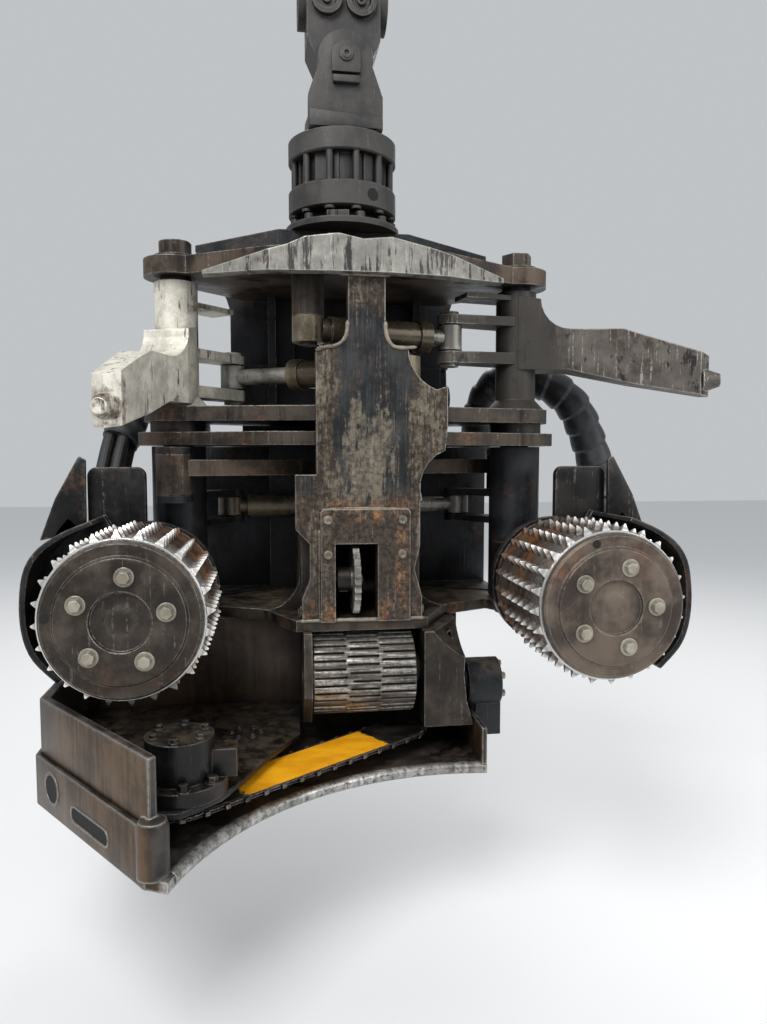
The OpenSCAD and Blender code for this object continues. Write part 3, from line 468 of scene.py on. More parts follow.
def ribbed_finish(name):
    f = Finish(name)
    reach = f.distance(f.y - LOG_ROLLER_Y, f.z - LOG_ROLLER_Z)
    fine = f.noise(110, 5, 0.7)
    along = f.noise(75, 4, 0.7, along=(0.08, 1, 1))
    tops = (reach.ramp(0.0885, 0.0915) * (along.ramp(0.44, 0.62) * 0.78 + 0.06)).clamp()
    colour = f.noise(16, 5).ramp(0.4, 0.6).mix((0.020, 0.016, 0.014), (0.075, 0.060, 0.048))
    polished = fine.ramp(0.35, 0.6).mix((0.22, 0.20, 0.175), (0.62, 0.60, 0.56))
    colour = tops.mix(colour, polished)
    colour = (f.edges(0.002) * 0.5).mix(colour, (0.60, 0.58, 0.54))
    rough, metal = (0.55 - tops * 0.27).clamp(), (0.4 + tops * 0.55).clamp()
    return f.done(colour, rough, metal, bump=along + fine, height=0.5)


ribbed_steel = ribbed_finish("ribbed_steel")


# %% Painted saw bar
BAR_PIVOT, BAR_TURN = Vector((-0.360, -0.740, -1.796)), math.radians(35.5)


def bar_finish(name):
    """Yellow paint with a ragged edge at the tip's end, and dark oily steel beyond it."""
    f = Finish(name)
    out = (f.x - BAR_PIVOT.x) * math.cos(BAR_TURN) + (f.y - BAR_PIVOT.y) * math.sin(BAR_TURN)
    ragged = f.noise(55, 5, 0.8) * 0.05
    fine = f.noise(130, 4, 0.7)
    scored = f.noise(60, 3, 0.6, along=(0.25, 0.4, 1))
    painted = (out + ragged).ramp(0.128, 0.132) * (out + ragged).ramp(0.492, 0.488)
    chipped = (f.noise(38, 6, 0.8).ramp(0.70, 0.73) | f.edges(0.002) * fine.ramp(0.45, 0.6))
    painted = (painted - chipped).clamp()
    paint = scored.ramp(0.35, 0.7).mix((0.90, 0.42, 0.010), (0.72, 0.29, 0.006))
    steel = scored.ramp(0.4, 0.6).mix((0.018, 0.016, 0.015), (0.085, 0.078, 0.070))
    rough, metal = (0.30 + painted * 0.12).clamp(), (0.7 - painted * 0.7).clamp()
    return f.done(painted.mix(steel, paint), rough, metal, bump=painted * 0.6 + fine * 0.2,
                  height=0.3, reach=0.001, round_edges=0.002)


painted_bar = bar_finish("painted_bar")


# %% Black hose guard, and the painted shade that stands in for holes
def rubber_finish(name, dark, light):
    f = Finish(name)
    fine = f.noise(160, 4, 0.6)
    scuff = f.noise(28, 5, 0.7).ramp(0.45, 0.68)
    colour = (scuff * 0.8).mix(dark, light)
    colour = (f.edges(0.003) * 0.5).mix(colour, (0.13, 0.13, 0.135))
    # Painted shade in creases and corners.
    colour = (f.corners(0.02) * 0.8).mix(colour, SHADE_BLACK)
    return f.done(colour, (0.42 + scuff * 0.2).clamp(), 0.0, bump=fine, height=0.25, reach=0.001,
                  round_edges=0.002)


hose_guard = rubber_finish("hose_guard", (0.014, 0.015, 0.017), (0.045, 0.047, 0.052))
hose_rubber = rubber_finish("hose_rubber", (0.010, 0.010, 0.011), (0.025, 0.025, 0.026))
# Painted shade: a flat near-black finish for discs that stand in for the dark inside of holes.
painted_hole_shade = Finish("painted_hole_shade").done((0.004, 0.004, 0.004), 0.8, 0.0, round_edges=0)

# %% [markdown]
# ## One finish for each CAD part
# The CAD parts keep their meshes and only get a finish. A short table names those that differ
# from the common frame steel. Parts that a finer piece replaces further down aren't in it.

# %% Assign the finishes
greasy_steel = worn_steel("greasy_steel", (0.007, 0.006, 0.006), (0.030, 0.023, 0.019), rust=0.5,
                          streak=0.2, gloss=0.30, bright=0.25, dust=0.35, corner_shade_reach=0.10)
finish_of = {
    "crane_link": cast_steel, "hanger": black_steel, "valve_block": black_steel,
    "tilt_barrels": barrel_steel, "tilt_rods": bright_steel, "spine_plate": spine_steel,
    "slide_plate": slide_steel, "fixed_knife": top_blade, "top_plate": brown_steel,
    "knife_left": cream_blade, "knife_right": brown_blade, "knife_pin_left": brown_steel,
    "knife_barrel_left": barrel_steel, "knife_barrel_right": barrel_steel,
    "knife_rod_left": bright_steel, "knife_rod_right": bright_steel, "arm_barrel": barrel_steel,
    "arm_rod": bright_steel, "timing_link": brown_steel, "arm_left": black_steel,
    "arm_right": black_steel, "roller_motor_left": black_steel,
    "roller_motor_right": black_steel, "measuring_wheel": bright_steel, "skid_plate": box_steel,
    "saw_motor": greasy_steel, "frame_roller_motor": black_steel, "back_wall": black_steel,
    "saw_bar": painted_bar,
}
for name, solid in nodes.items():
    solid.data.materials.clear()
    solid.data.materials.append(finish_of.get(name, frame_steel))
print(len(nodes), "parts,", len(set(finish_of.values())) + 1, "finishes")

# %% [markdown]
# ## Helpers for new pieces
# Most machine parts come off a lathe, so the first helper spins a short profile about an axis,
# which is quicker and cleaner than shaping a cylinder. The next makes a hex bolt with a washer
# and a chamfered head. Plates are an outline pushed to its thickness and softened by one bevel. A
# tube or a weld bead starts from a circle whose rim is extruded from station to station along a
# smooth route, each station with its own radius. The last helper hands a finished mesh to the
# frame: faces out, smooth but with its hard edges kept, riding on the body that carries it.


# %% Turning and bolts
def turned(bm, profile, origin, axis, steps=64):
    """Spin (along, radius) pairs about an axis through the origin."""
    axis, origin = Vector(axis).normalized(), Vector(origin)
    side = axis.orthogonal().normalized()
    verts = [bm.verts.new(origin + axis * along + side * radius) for along, radius in profile]
    edges = [bm.edges.new(pair) for pair in zip(verts, verts[1:])]
    bmesh.ops.spin(bm, geom=verts + edges, cent=origin, axis=axis, angle=math.tau, steps=steps,
                   use_merge=True)


def aimed(place, axis, turn=0.0):
    """A matrix that stands a shape drawn along Z at a place, along an axis."""
    tilt = Vector(axis).to_track_quat("Z", "Y").to_matrix().to_4x4()
    return Matrix.Translation(Vector(place)) @ tilt @ Matrix.Rotation(turn, 4, "Z")


def hex_bolt(bm, place, axis, across, height, washer, turn):
    """A bolt head standing on a place, its washer under it."""
    base = aimed(place, axis, turn)
    bmesh.ops.create_cone(bm, cap_ends=True, segments=20, depth=washer,
                          radius1=across * 0.86, radius2=across * 0.82,
                          matrix=base @ Matrix.Translation((0, 0, washer / 2)))
    corner = across / math.sqrt(3)
    made = bmesh.ops.create_cone(bm, cap_ends=True, segments=6, depth=height,
                                 radius1=corner, radius2=corner,
                                 matrix=base @ Matrix.Translation((0, 0, washer + height / 2)))
    up = Vector(axis).normalized()
    middle = Vector(place) + up * (washer + height * 0.9)
    rim = {e for v in made["verts"] for e in v.link_edges
           if all((w.co - middle).dot(up) > 0 for w in e.verts)}
    bmesh.ops.bevel(bm, geom=list(rim), offset=height * 0.16, segments=2, profile=0.5,
                    affect="EDGES", material=-1)


# %% Plates
def in_front(y):
    """Maps a flat outline (a, b) to x and z at a depth y; its thickness runs backwards."""
    return Matrix(((1, 0, 0, 0), (0, 0, 1, y), (0, 1, 0, 0), (0, 0, 0, 1)))


def in_plan(z):
    """Maps a flat outline to x and y at a height z; its thickness runs up."""
    return Matrix.Translation((0, 0, z))


def cut_plate(bm, outline, plane, thick):
    """A plate: a face on an outline, pushed to its thickness."""
    face = bm.faces.new([bm.verts.new(plane @ Vector((a, b, 0))) for a, b in outline])
    grown = bmesh.ops.extrude_face_region(bm, geom=[face])["geom"]
    push = plane.to_3x3() @ Vector((0, 0, thick))
    bmesh.ops.translate(bm, vec=push, verts=[g for g in grown if isinstance(g, bmesh.types.BMVert)])


def soften(bm, offset, segments=2, angle=30):
    """Round every edge that is sharper than an angle."""
    hard = [e for e in bm.edges
            if len(e.link_faces) == 2 and e.calc_face_angle() > math.radians(angle)]
    bmesh.ops.bevel(bm, geom=hard, offset=offset, segments=segments, profile=0.5, affect="EDGES",
                    clamp_overlap=True, material=-1)


def arc(centre, radius, first, last, steps):
    """Points on a circle from one angle to another, in degrees."""
    turns = [math.radians(first + (last - first) * k / steps) for k in range(steps + 1)]
    return [(centre[0] + radius * math.cos(a), centre[1] + radius * math.sin(a)) for a in turns]


# %% Routes and tubes
def smooth_route(points, spacing):
    """Evenly spaced places on a smooth curve through given points."""
    points = [Vector(p) for p in points]
    fine = []
    for k in range(len(points) - 1):
        a, b = points[max(k - 1, 0)], points[k]
        c, d = points[k + 1], points[min(k + 2, len(points) - 1)]
        for t in (n / 24 for n in range(24)):
            fine.append(0.5 * (2 * b + (c - a) * t + (2 * a - 5 * b + 4 * c - d) * t ** 2
                               + (3 * b - a - 3 * c + d) * t ** 3))
    fine.append(points[-1])
    travelled = [0.0]
    for a, b in zip(fine, fine[1:]):
        travelled.append(travelled[-1] + (b - a).length)
    count = max(2, round(travelled[-1] / spacing))
    places, k = [], 0
    for n in range(count + 1):
        want = travelled[-1] * n / count
        while k < len(fine) - 2 and travelled[k + 1] < want:
            k += 1
        share = (want - travelled[k]) / max(travelled[k + 1] - travelled[k], 1e-9)
        places.append(fine[k].lerp(fine[k + 1], min(1.0, share)))
    return places


def stations(places, lean=0.0):
    """A matrix for each place, its Z along the route; lean tips every section the same way."""
    made, side = [], None
    for k, place in enumerate(places):
        along = (places[min(k + 1, len(places) - 1)] - places[max(k - 1, 0)]).normalized()
        side = along.orthogonal() if side is None else side - along * side.dot(along)
        side.normalize()
        turn = Matrix((side, along.cross(side), along)).transposed().to_4x4()
        made.append(Matrix.Translation(place) @ turn @ Matrix.Rotation(lean, 4, "X"))
    return made


def swept(bm, frames, radii, sides=12):
    """A closed tube through the frames, one radius for each."""
    first = bmesh.ops.create_circle(bm, cap_ends=True, segments=sides, radius=radii[0],
                                    matrix=frames[0])
    rim = list({e for v in first["verts"] for e in v.link_edges})
    last = frames[0] @ Matrix.Scale(radii[0], 4)
    for here, radius in zip(frames[1:], radii[1:]):
        grown = bmesh.ops.extrude_edge_only(bm, edges=rim)["geom"]
        verts = [g for g in grown if isinstance(g, bmesh.types.BMVert)]
        rim = [g for g in grown if isinstance(g, bmesh.types.BMEdge) and g.is_boundary]
        new = here @ Matrix.Scale(radius, 4)
        bmesh.ops.transform(bm, matrix=new @ last.inverted(), verts=verts)
        last = new
    bmesh.ops.edgeloop_fill(bm, edges=rim)


# %% Handing a piece over to the frame
def hand_over(bm, name, body, material, replaced=(), sharp=35, merge=1e-5):
    """Turn a bmesh into a piece that rides on a body."""
    if merge:
        bmesh.ops.remove_doubles(bm, verts=bm.verts, dist=merge)
    bmesh.ops.recalc_face_normals(bm, faces=bm.faces)
    data = bpy.data.meshes.new(name)
    bm.to_mesh(data)
    bm.free()
    data.shade_smooth()
    data.set_sharp_from_angle(angle=math.radians(sharp))
    data.materials.append(material)
    piece = bpy.data.objects.new(name, data)
    bpy.context.scene.collection.objects.link(piece)
    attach(piece, body)
    if replaced:
        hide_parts(*replaced)
    print(name, len(data.polygons), "faces")


# %% [markdown]
# ## Rotator
# The rotator is a casting with two tall ears that hang on the swing pin. Under them sit a ring, a
# stator held by twelve tie rods, and a second ring; the flange below turns with the head. The CAD
# solids are plainer, so these pieces take their places: lathe profiles for the rings, a face
# pushed to its thickness for the ears, and one bevel over the ears, as a casting has no sharp
# edges.

# %% Ears, rings and tie rods
EAR_FOOT, RING_FOOT, STATOR_FOOT, CASE_FOOT = -0.354, -0.410, -0.482, -0.546
bm = bmesh.new()
ear = [(0.094, EAR_FOOT), (0.094, -0.270)] + arc((0, -0.180), 0.070, -14, 194, 26) + [
    (-0.094, -0.270), (-0.094, EAR_FOOT)]
for y in (-0.113, 0.068):
    cut_plate(bm, ear, in_front(y), 0.045)
cut_plate(bm, [(0.093, -0.352), (0.093, -0.322), (-0.093, -0.308), (-0.093, -0.352)],
          in_front(-0.121), 0.010)
soften(bm, 0.005)
turned(bm, [(0, 0), (0, 0.136), (0.004, 0.142), (0.052, 0.142), (0.056, 0.138), (0.056, 0)],
       (0, 0, EAR_FOOT), (0, 0, -1), 96)
turned(bm, [(0, 0), (0, 0.116), (0.072, 0.116), (0.072, 0)], (0, 0, RING_FOOT), (0, 0, -1), 72)
turned(bm, [(0, 0), (0, 0.138), (0.004, 0.142), (0.060, 0.142), (0.064, 0.137), (0.064, 0)],
       (0, 0, STATOR_FOOT), (0, 0, -1), 96)
for k in range(12):
    angle = math.tau * (k + 0.35) / 12
    at = Vector((0.128 * math.cos(angle), 0.128 * math.sin(angle), 0))
    turned(bm, [(0, 0.009), (0.074, 0.009)], at + Vector((0, 0, RING_FOOT + 0.001)), (0, 0, -1), 20)
    turned(bm, [(0, 0.0135), (0.006, 0.0135), (0.0075, 0.012), (0.0075, 0)],
           at + Vector((0, 0, CASE_FOOT)), (0, 0, -1), 20)
for k in range(6):
    angle = math.tau * (k + 0.1) / 6
    here = Matrix.Rotation(angle, 4, "Z") @ Matrix.Translation((0.116, 0, -0.446))
    bmesh.ops.create_cube(bm, size=1, matrix=here @ Matrix.Diagonal((0.006, 0.062, 0.070, 1)))
hand_over(bm, "rotator_case", "rotator", cast_steel, ["rotator_ears", "rotator_body"],
          sharp=40)

# Painted shade: a thin near-black disc on the case stands in for an open port.
bm = bmesh.new()
out = Vector((math.cos(math.radians(-62)), math.sin(math.radians(-62)), 0))
turned(bm, [(0.1405, 0), (0.1405, 0.0155), (0.1424, 0.0155), (0.1424, 0)], (0, 0, -0.514), out, 32)
hand_over(bm, "rotator_port_shade", "rotator", painted_hole_shade)

# %% The swing pin with its keeper
bm = bmesh.new()
turned(bm, [(-0.113, 0.0), (-0.113, 0.032), (0.121, 0.032), (0.121, 0)], (0, 0, -0.180), (0, 1, 0),
       48)
keeper = [(0.036, -0.220), (0.036, -0.180)] + arc((0, -0.180), 0.036, 8, 172, 18) + [
    (-0.036, -0.180), (-0.036, -0.220)]
cut_plate(bm, keeper, in_front(-0.1253), 0.012)
cut_plate(bm, [(0.033, -0.246), (0.033, -0.229), (-0.033, -0.229), (-0.033, -0.246)],
          in_front(-0.130), 0.018)
soften(bm, 0.0025)
hand_over(bm, "swing_pin_capped", "rotator", cast_steel, ["swing_pin"], sharp=40)

# %% The flange that turns with the head
bm = bmesh.new()
turned(bm, [(0, 0), (0, 0.150), (0.014, 0.150), (0.016, 0.148), (0.016, 0.095), (0.041, 0.095),
            (0.041, 0)],
       (0, 0, -0.590), (0, 0, 1), 96)
for k in range(12):
    angle = math.tau * (k + 0.5) / 12
    at = Vector((0.130 * math.cos(angle), 0.130 * math.sin(angle), -0.574))
    turned(bm, [(0, 0.0135), (0.003, 0.0125), (0.014, 0.0125), (0.0155, 0.011), (0.0155, 0)], at,
           (0, 0, 1), 20)
for turn in (-100, 20, 140):
    here = Matrix.Rotation(math.radians(turn), 4, "Z") @ Matrix.Translation((0.112, 0, -0.5655))
    bmesh.ops.create_cube(bm, size=1, matrix=here @ Matrix.Diagonal((0.044, 0.056, 0.017, 1)))
hand_over(bm, "rotor_hub", "hanger", cast_steel, ["rotor_flange"], sharp=40)

# %% [markdown]
# ## Roller guards
# Each feed arm carries a bent guard plate round the outer half of its roller, closed behind by a
# plate from the arm's hub, with a raised shoulder that keeps branches off the hoses. The right
# guard reaches further forward. The outline is a smooth curve through seven points, walked round
# on the outside and back on the inside, and pushed along the roller's axis.

# %% Guards and shoulders on both arms
ROLLER_X, ROLLER_Z = 0.460, -1.463
GUARD_BACK, GUARD_WALL = -0.392, 0.944
GUARD_EDGE = [(119, 0.187), (138, 0.205), (153, 0.224), (167, 0.230), (189, 0.233), (207, 0.238),
              (225, 0.231)]


def roller_guard(name, side, reach):
    word = "left" if side < 0 else "right"
    edge = [(ROLLER_X - r * math.cos(math.radians(a)), 0, ROLLER_Z + r * math.sin(math.radians(a)))
            for a, r in GUARD_EDGE]
    outer = [(v.x, v.z) for v in smooth_route(edge, 0.016)]
    inner = [(ROLLER_X + (x - ROLLER_X) * GUARD_WALL, ROLLER_Z + (z - ROLLER_Z) * GUARD_WALL)
             for x, z in outer]
    shoulder = [(0.588, -1.330), (0.684, -1.352), (0.650, -1.262), (0.600, -1.172), (0.586, -1.180)]
    back = [(0.466, -1.400)] + arc((0.486, -1.216), 0.020, 180, 90, 5)
    back += arc((0.568, -1.216), 0.020, 90, 0, 5) + [(0.588, -1.400)]
    bm = bmesh.new()
    for outline, y, thick in ((outer + inner[::-1], GUARD_BACK - reach, reach - 0.0005),
                              ([(ROLLER_X, ROLLER_Z)] + outer, GUARD_BACK + 0.0005, 0.0215),
                              (shoulder, GUARD_BACK, 0.012), (back, -0.3725, 0.022)):
        cut_plate(bm, [(side * x, z) for x, z in outline], in_front(y), thick)
    soften(bm, 0.003, angle=50)
    hand_over(bm, name, "arm_" + word, guard_steel, ["roller_guard_" + word],
              sharp=40)


guard_steel = worn_steel("guard_steel", (0.008, 0.008, 0.009), (0.030, 0.027, 0.025), rust=0.3,
                         streak=0.3, gloss=0.38, bright=0.9, dust=0.3, corner_shade_reach=0.05)
roller_guard("guard_left", -1, 0.128)
roller_guard("guard_right", 1, 0.200)

# %% [markdown]
# ## Sheets behind the arms
# Seen from the log side the machine is nearly black between its arms: folded sheets close the frame
# behind them, from the middle plate down to the bottom plate. They are plain plates with a folded
# rim, on the frame.

# %% Sheets that close the frame behind the arms
bm = bmesh.new()
for side in (-1, 1):
    sheet = [(0.199, -1.5285), (0.199, -1.1475), (0.400, -1.1475), (0.400, -1.5285)]
    cut_plate(bm, [(side * x, z) for x, z in sheet], in_front(0.001), 0.008)
    foot = [(0.199, -0.030), (0.400, -0.165), (0.400, 0.009), (0.199, 0.009)]
    cut_plate(bm, [(side * x, y) for x, y in foot], in_plan(-1.528), 0.004)
    rim = [(0.392, -1.1475), (0.400, -1.1475), (0.400, -1.5285), (0.392, -1.5285)]
    cut_plate(bm, [(side * x, z) for x, z in rim], in_front(0.009), 0.030)
soften(bm, 0.002, angle=60)
hand_over(bm, "arm_sheets", "frame", black_steel, sharp=40)

# %% [markdown]
# ## Spiked feed rollers
# A feed roller is a steel drum with pyramid studs cut into it, which bite into the bark. They
# stand in straight rows along the drum, sharp in front and worn low at the back. The CAD model
# has them as plain teeth; here each is a four-sided cone, so it has only a handful of faces
# although there are hundreds. Bark keeps the front ones bright while the rest goes brown, which
# the finish shows by the distance from the axle and from the front lip.

# %% Feed rollers
ROLLER_FRONT, ROLLER_BACK = -0.700, -0.400
DRUM_R, SPIKE_R = 0.144, 0.165
SPIKES_ROUND, SPIKE_ROWS, SPIKE_PITCH = 24, 8, 0.0375
LOW_ROWS = 2


def roller_finish(name, side):
    f = Finish(name)
    reach = f.distance(f.x - side * ROLLER_X, f.z - ROLLER_Z)
    fine = f.noise(120, 4, 0.7)
    patches = f.noise(14, 5, 0.6).ramp(0.35, 0.65)
    scraped = f.noise(60, 4, 0.7, along=(0.5, 0.5, 0.12)).ramp(0.44, 0.62)
    base = patches.mix((0.026, 0.016, 0.012), (0.095, 0.066, 0.050))
    base = (scraped * 0.5).mix(base, (0.16, 0.125, 0.10))
    rust = (f.noise(10, 4, 0.7).ramp(0.54, 0.66) * 0.7).mix(base, (0.26, 0.105, 0.035))
    front = f.y.ramp(-0.455, -0.56)
    tips = reach.ramp(DRUM_R + 0.004, SPIKE_R - 0.005) * fine.ramp(0.14, 0.36)
    tips = tips * (front * 0.88 + 0.12)
    land = reach.ramp(DRUM_R - 0.004, DRUM_R) * f.y.ramp(-0.58, -0.69) * fine.ramp(0.36, 0.58)
    land = land * (0.55 if side < 0 else 0.40)
    lip = reach.ramp(DRUM_R - 0.002, DRUM_R + 0.002) * f.y.ramp(-0.683, -0.690)
    shine = ((tips | land) | lip * fine.ramp(0.22, 0.42)).clamp()
    colour = shine.mix(rust, (0.84, 0.83, 0.80) if side < 0 else (0.68, 0.67, 0.65))
    # Painted shade between the spikes and in corners, less where the steel shines.
    colour = (f.corners(0.02) * 0.85 * (1 - shine * 0.8)).mix(colour, SHADE_BLACK)
    return f.done(colour, (0.52 - shine * 0.26 + patches * 0.1).clamp(),
                  (0.35 + shine * 0.62).clamp(),
                  bump=fine + scraped * 0.5, height=0.45, reach=0.0015, round_edges=0.0015)


def feed_roller(name, side):
    bm = bmesh.new()
    centre = Vector((side * ROLLER_X, ROLLER_FRONT, ROLLER_Z))
    length = ROLLER_BACK - ROLLER_FRONT
    turned(bm, [(0, 0.120), (0, DRUM_R + 0.002), (0.003, DRUM_R + 0.004), (0.007, DRUM_R + 0.003),
                (0.009, DRUM_R), (length - 0.010, DRUM_R), (length - 0.008, DRUM_R + 0.003),
                (length, DRUM_R), (length, 0.048), (0.03, 0.048), (0.03, 0.0)],
           centre, (0, 1, 0), 96)
    for k in range(SPIKES_ROUND):
        angle = math.tau * (k + 0.25) / SPIKES_ROUND
        out = Vector((math.cos(angle), 0, math.sin(angle)))
        for row in range(SPIKE_ROWS):
            worn_by = noise.noise((7.3 * k, 3.1 * row, side)) * 0.0025
            worn_low = 0.008 if row >= SPIKE_ROWS - LOW_ROWS else 0
            tall = SPIKE_R - DRUM_R - 0.001 - abs(worn_by) - worn_low
            foot = centre + out * (DRUM_R - 0.002) + Vector((0, (row + 0.52) * SPIKE_PITCH, 0))
            bmesh.ops.create_cone(bm, cap_ends=False, segments=4, radius1=0.0150, radius2=0.0020,
                                  depth=tall, matrix=aimed(foot + out * tall / 2, out, math.pi / 4))
    word = "left" if side < 0 else "right"
    finish = roller_finish("spiked_drum_" + word, side)
    hand_over(bm, name, "feed_roller_" + word, finish, ["feed_roller_" + word],
              sharp=25, merge=0)


feed_roller("spiked_roller_left", -1)
feed_roller("spiked_roller_right", 1)

# %% [markdown]
# ## Roller covers
# Each drum is closed in front by a turned cover: a flat rim, a raised disc held by five bolts, and
# a round recess with a low boss over the end of the motor shaft. It is one lathe profile, so it is
# one spin. The drain hole in the rim is painted shade: a near-black disc sunk into it.

# %% Roller covers with their bolts
cover_left = worn_steel("cover_left", (0.024, 0.018, 0.014), (0.080, 0.062, 0.048), rust=0.2,
                        streak=0.1, gloss=0.36, bright=0.75, dust=0, corner_shade_reach=0.012)
cover_right = worn_steel("cover_right", (0.050, 0.037, 0.030), (0.150, 0.115, 0.088), rust=0.55,
                         streak=0.15, gloss=0.38, bright=0.7, dust=0, corner_shade_reach=0.012)


COVER_R = 0.142


def roller_cover(name, side, finish, first_bolt, hole_at):
    bm = bmesh.new()
    centre = Vector((side * ROLLER_X, ROLLER_FRONT, ROLLER_Z))
    word = "left" if side < 0 else "right"
    body, r = "feed_roller_" + word, COVER_R
    turned(bm, [(-0.001, r), (-0.010, r), (-0.0135, r - 0.004), (-0.0135, 0.83 * r),
                (-0.015, 0.815 * r),
                (-0.020, 0.80 * r), (-0.0215, 0.77 * r), (-0.0215, 0.385 * r), (-0.0195, 0.376 * r),
                (-0.0145, 0.372 * r), (-0.0140, 0.20 * r), (-0.0165, 0.17 * r), (-0.0165, 0)],
           centre, (0, 1, 0), 96)
    hand_over(bm, name, body, finish, ["roller_cover_" + word])
    bolts = bmesh.new()
    for k in range(5):
        angle = math.radians(first_bolt + 72 * k)
        out = Vector((math.cos(angle), 0, math.sin(angle)))
        place = centre + out * 0.57 * r + Vector((0, -0.0215, 0))
        hex_bolt(bolts, place, (0, -1, 0), 0.021, 0.011, 0.003, angle)
    hand_over(bolts, name + "_bolts", body, zinc_steel)
    # Painted shade: a near-black disc sunk into the rim stands in for the drain hole.
    drain_shade = bmesh.new()
    angle = math.radians(hole_at)
    out = Vector((math.cos(angle), 0, math.sin(angle)))
    turned(drain_shade, [(-0.0137, 0.0082), (-0.0141, 0.0078), (-0.0141, 0)], centre + out * 0.91 * r,
           (0, 1, 0), 24)
    hand_over(drain_shade, name + "_hole", body, painted_hole_shade)


roller_cover("cover_left", -1, cover_left, 84, 176)
roller_cover("cover_right", 1, cover_right, 72, 108)

# %% [markdown]
# ## Wrapped hose bundles
# Four hydraulic hoses run from the valve block to each roller motor inside a spiral guard, whose
# turns overlap like shingles. The guard is a tube swept along a route, and the shingles are only
# its radius: it grows along each turn and drops back at the next. On the left the guard ends
# early, and the bare hoses go on to their crimped ferrules.

# %% Hose bundles
BUNDLE_R = 0.048
WRAP_PITCH = 0.052
HOSE_R = 0.0155
HOSES, HOSE_ASIDE = 4, 0.025
WRAP_SHAPE = [0.895, 0.925, 0.955, 0.985, 1.0, 1.0]
RIGHT_ROUTE = [
    (0.149, 0.075, -1.330), (0.212, 0.076, -1.330), (0.282, 0.084, -1.316), (0.345, 0.098, -1.268),
    (0.386, 0.106, -1.192), (0.404, 0.106, -1.110), (0.412, 0.096, -1.035), (0.436, 0.054, -0.975),
    (0.476, -0.010, -0.955), (0.546, -0.066, -0.975), (0.614, -0.096, -1.034),
    (0.660, -0.100, -1.130),
    (0.686, -0.110, -1.225), (0.702, -0.150, -1.320), (0.712, -0.210, -1.395),
    (0.706, -0.270, -1.443), (0.682, -0.300, -1.460), (0.629, -0.300, -1.460),
]
LEFT_ROUTE = [
    (-0.149, 0.075, -1.330), (-0.212, 0.076, -1.330), (-0.282, 0.084, -1.316),
    (-0.345, 0.098, -1.272),
    (-0.386, 0.106, -1.204), (-0.404, 0.104, -1.130), (-0.416, 0.086, -1.060),
    (-0.444, 0.048, -1.012),
    (-0.484, 0.004, -1.008), (-0.530, -0.060, -1.050), (-0.556, -0.130, -1.120),
    (-0.568, -0.185, -1.200),
    (-0.574, -0.235, -1.280), (-0.570, -0.275, -1.345), (-0.563, -0.298, -1.395),
    (-0.562, -0.300, -1.429),
]


def bending(bm, name, material):
    """Hand a piece over as one smooth mesh, its transform baked in."""
    bmesh.ops.recalc_face_normals(bm, faces=bm.faces)
    data = bpy.data.meshes.new(name)
    bm.to_mesh(data)
    bm.free()
    data.shade_smooth()
    data.set_sharp_from_angle(angle=math.radians(22))
    data.materials.append(material)
    piece = bpy.data.objects.new(name, data)
    bpy.context.scene.collection.objects.link(piece)
    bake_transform(piece)
    print(name, len(data.polygons), "faces")
    return piece


def hose_bundle(word, route, wrap_end):
    """Four hoses the whole way, and the guard up to a share of it."""
    turn_steps = len(WRAP_SHAPE)
    places = smooth_route(route, WRAP_PITCH / turn_steps)
    frames = stations(places, math.radians(12))[:round(len(places) * wrap_end)]
    bm = bmesh.new()
    swept(bm, frames, [BUNDLE_R * WRAP_SHAPE[k % turn_steps] for k in range(len(frames))], 28)
    guard = bending(bm, f"bundle_{word}_guard", hose_guard)
    thinned = places[::4] + ([places[-1]] if (len(places) - 1) % 4 else [])
    frames = stations(thinned)
    for k in range(HOSES):
        turn = math.tau * (k + 0.5) / HOSES
        aside = Matrix.Translation((HOSE_ASIDE * math.cos(turn), HOSE_ASIDE * math.sin(turn), 0))
        own = [m @ aside for m in frames]
        bm = bmesh.new()
        swept(bm, own, [HOSE_R] * len(own), 14)
        hose = bending(bm, f"hose_{word}_{k + 1}", hose_rubber)


hose_bundle("left", LEFT_ROUTE, 0.70)
hose_bundle("right", RIGHT_ROUTE, 0.97)

# %% [markdown]
# ## Where the hoses end
# Each motor has a bored port block for its hoses. The crimped ferrules on the left show between the
# guard and the roller as bright sleeves.

# %% Port blocks and ferrules
PORT_FRONT, PORT_BACK = -0.345, -0.256
for word, x0, x1, z0, z1 in (("left", -0.516, -0.606, -1.480, -1.428),
                             ("right", 0.560, 0.630, -1.505, -1.415)):
    bm = bmesh.new()
    cut_plate(bm, [(x0, z0), (x1, z0), (x1, z1), (x0, z1)], in_front(PORT_FRONT),
              PORT_BACK - PORT_FRONT)
    soften(bm, 0.004)
    hand_over(bm, f"port_block_{word}", "arm_" + word, black_steel, sharp=40)
bm = bmesh.new()
for k in range(HOSES):
    turn = math.tau * (k + 0.5) / HOSES
    at = Vector((-0.562 + HOSE_ASIDE * math.cos(turn), -0.300 + HOSE_ASIDE * math.sin(turn),
                 -1.428))
    turned(bm, [(0, 0), (0, 0.0150), (0.010, 0.0175), (0.012, 0.0175), (0.014, 0.0190),
                (0.055, 0.0190), (0.058, 0.0172), (0.058, 0.0150)], at, (0.05, 0.12, 1), 24)
hand_over(bm, "hose_ferrules", "arm_left", zinc_steel, sharp=30)
bm = bmesh.new()
for side in (-1, 1):
    turned(bm, [(0.145, 0), (0.145, 0.056), (0.158, 0.056), (0.160, 0.054), (0.160, 0.046)],
           (0, 0.075, -1.330), (side, 0, 0), 40)
hand_over(bm, "valve_ports", "frame", black_steel, sharp=30)

# %% [markdown]
# ## Frame roller
# The log runs on a ribbed roller between two cheeks. Its bars are welded on a drum, staggered so
# in three bands that overlap a little, and bark keeps them bright. Each bar is a bevelled block
# whose length and width differ a little from the next, as worn ones do.

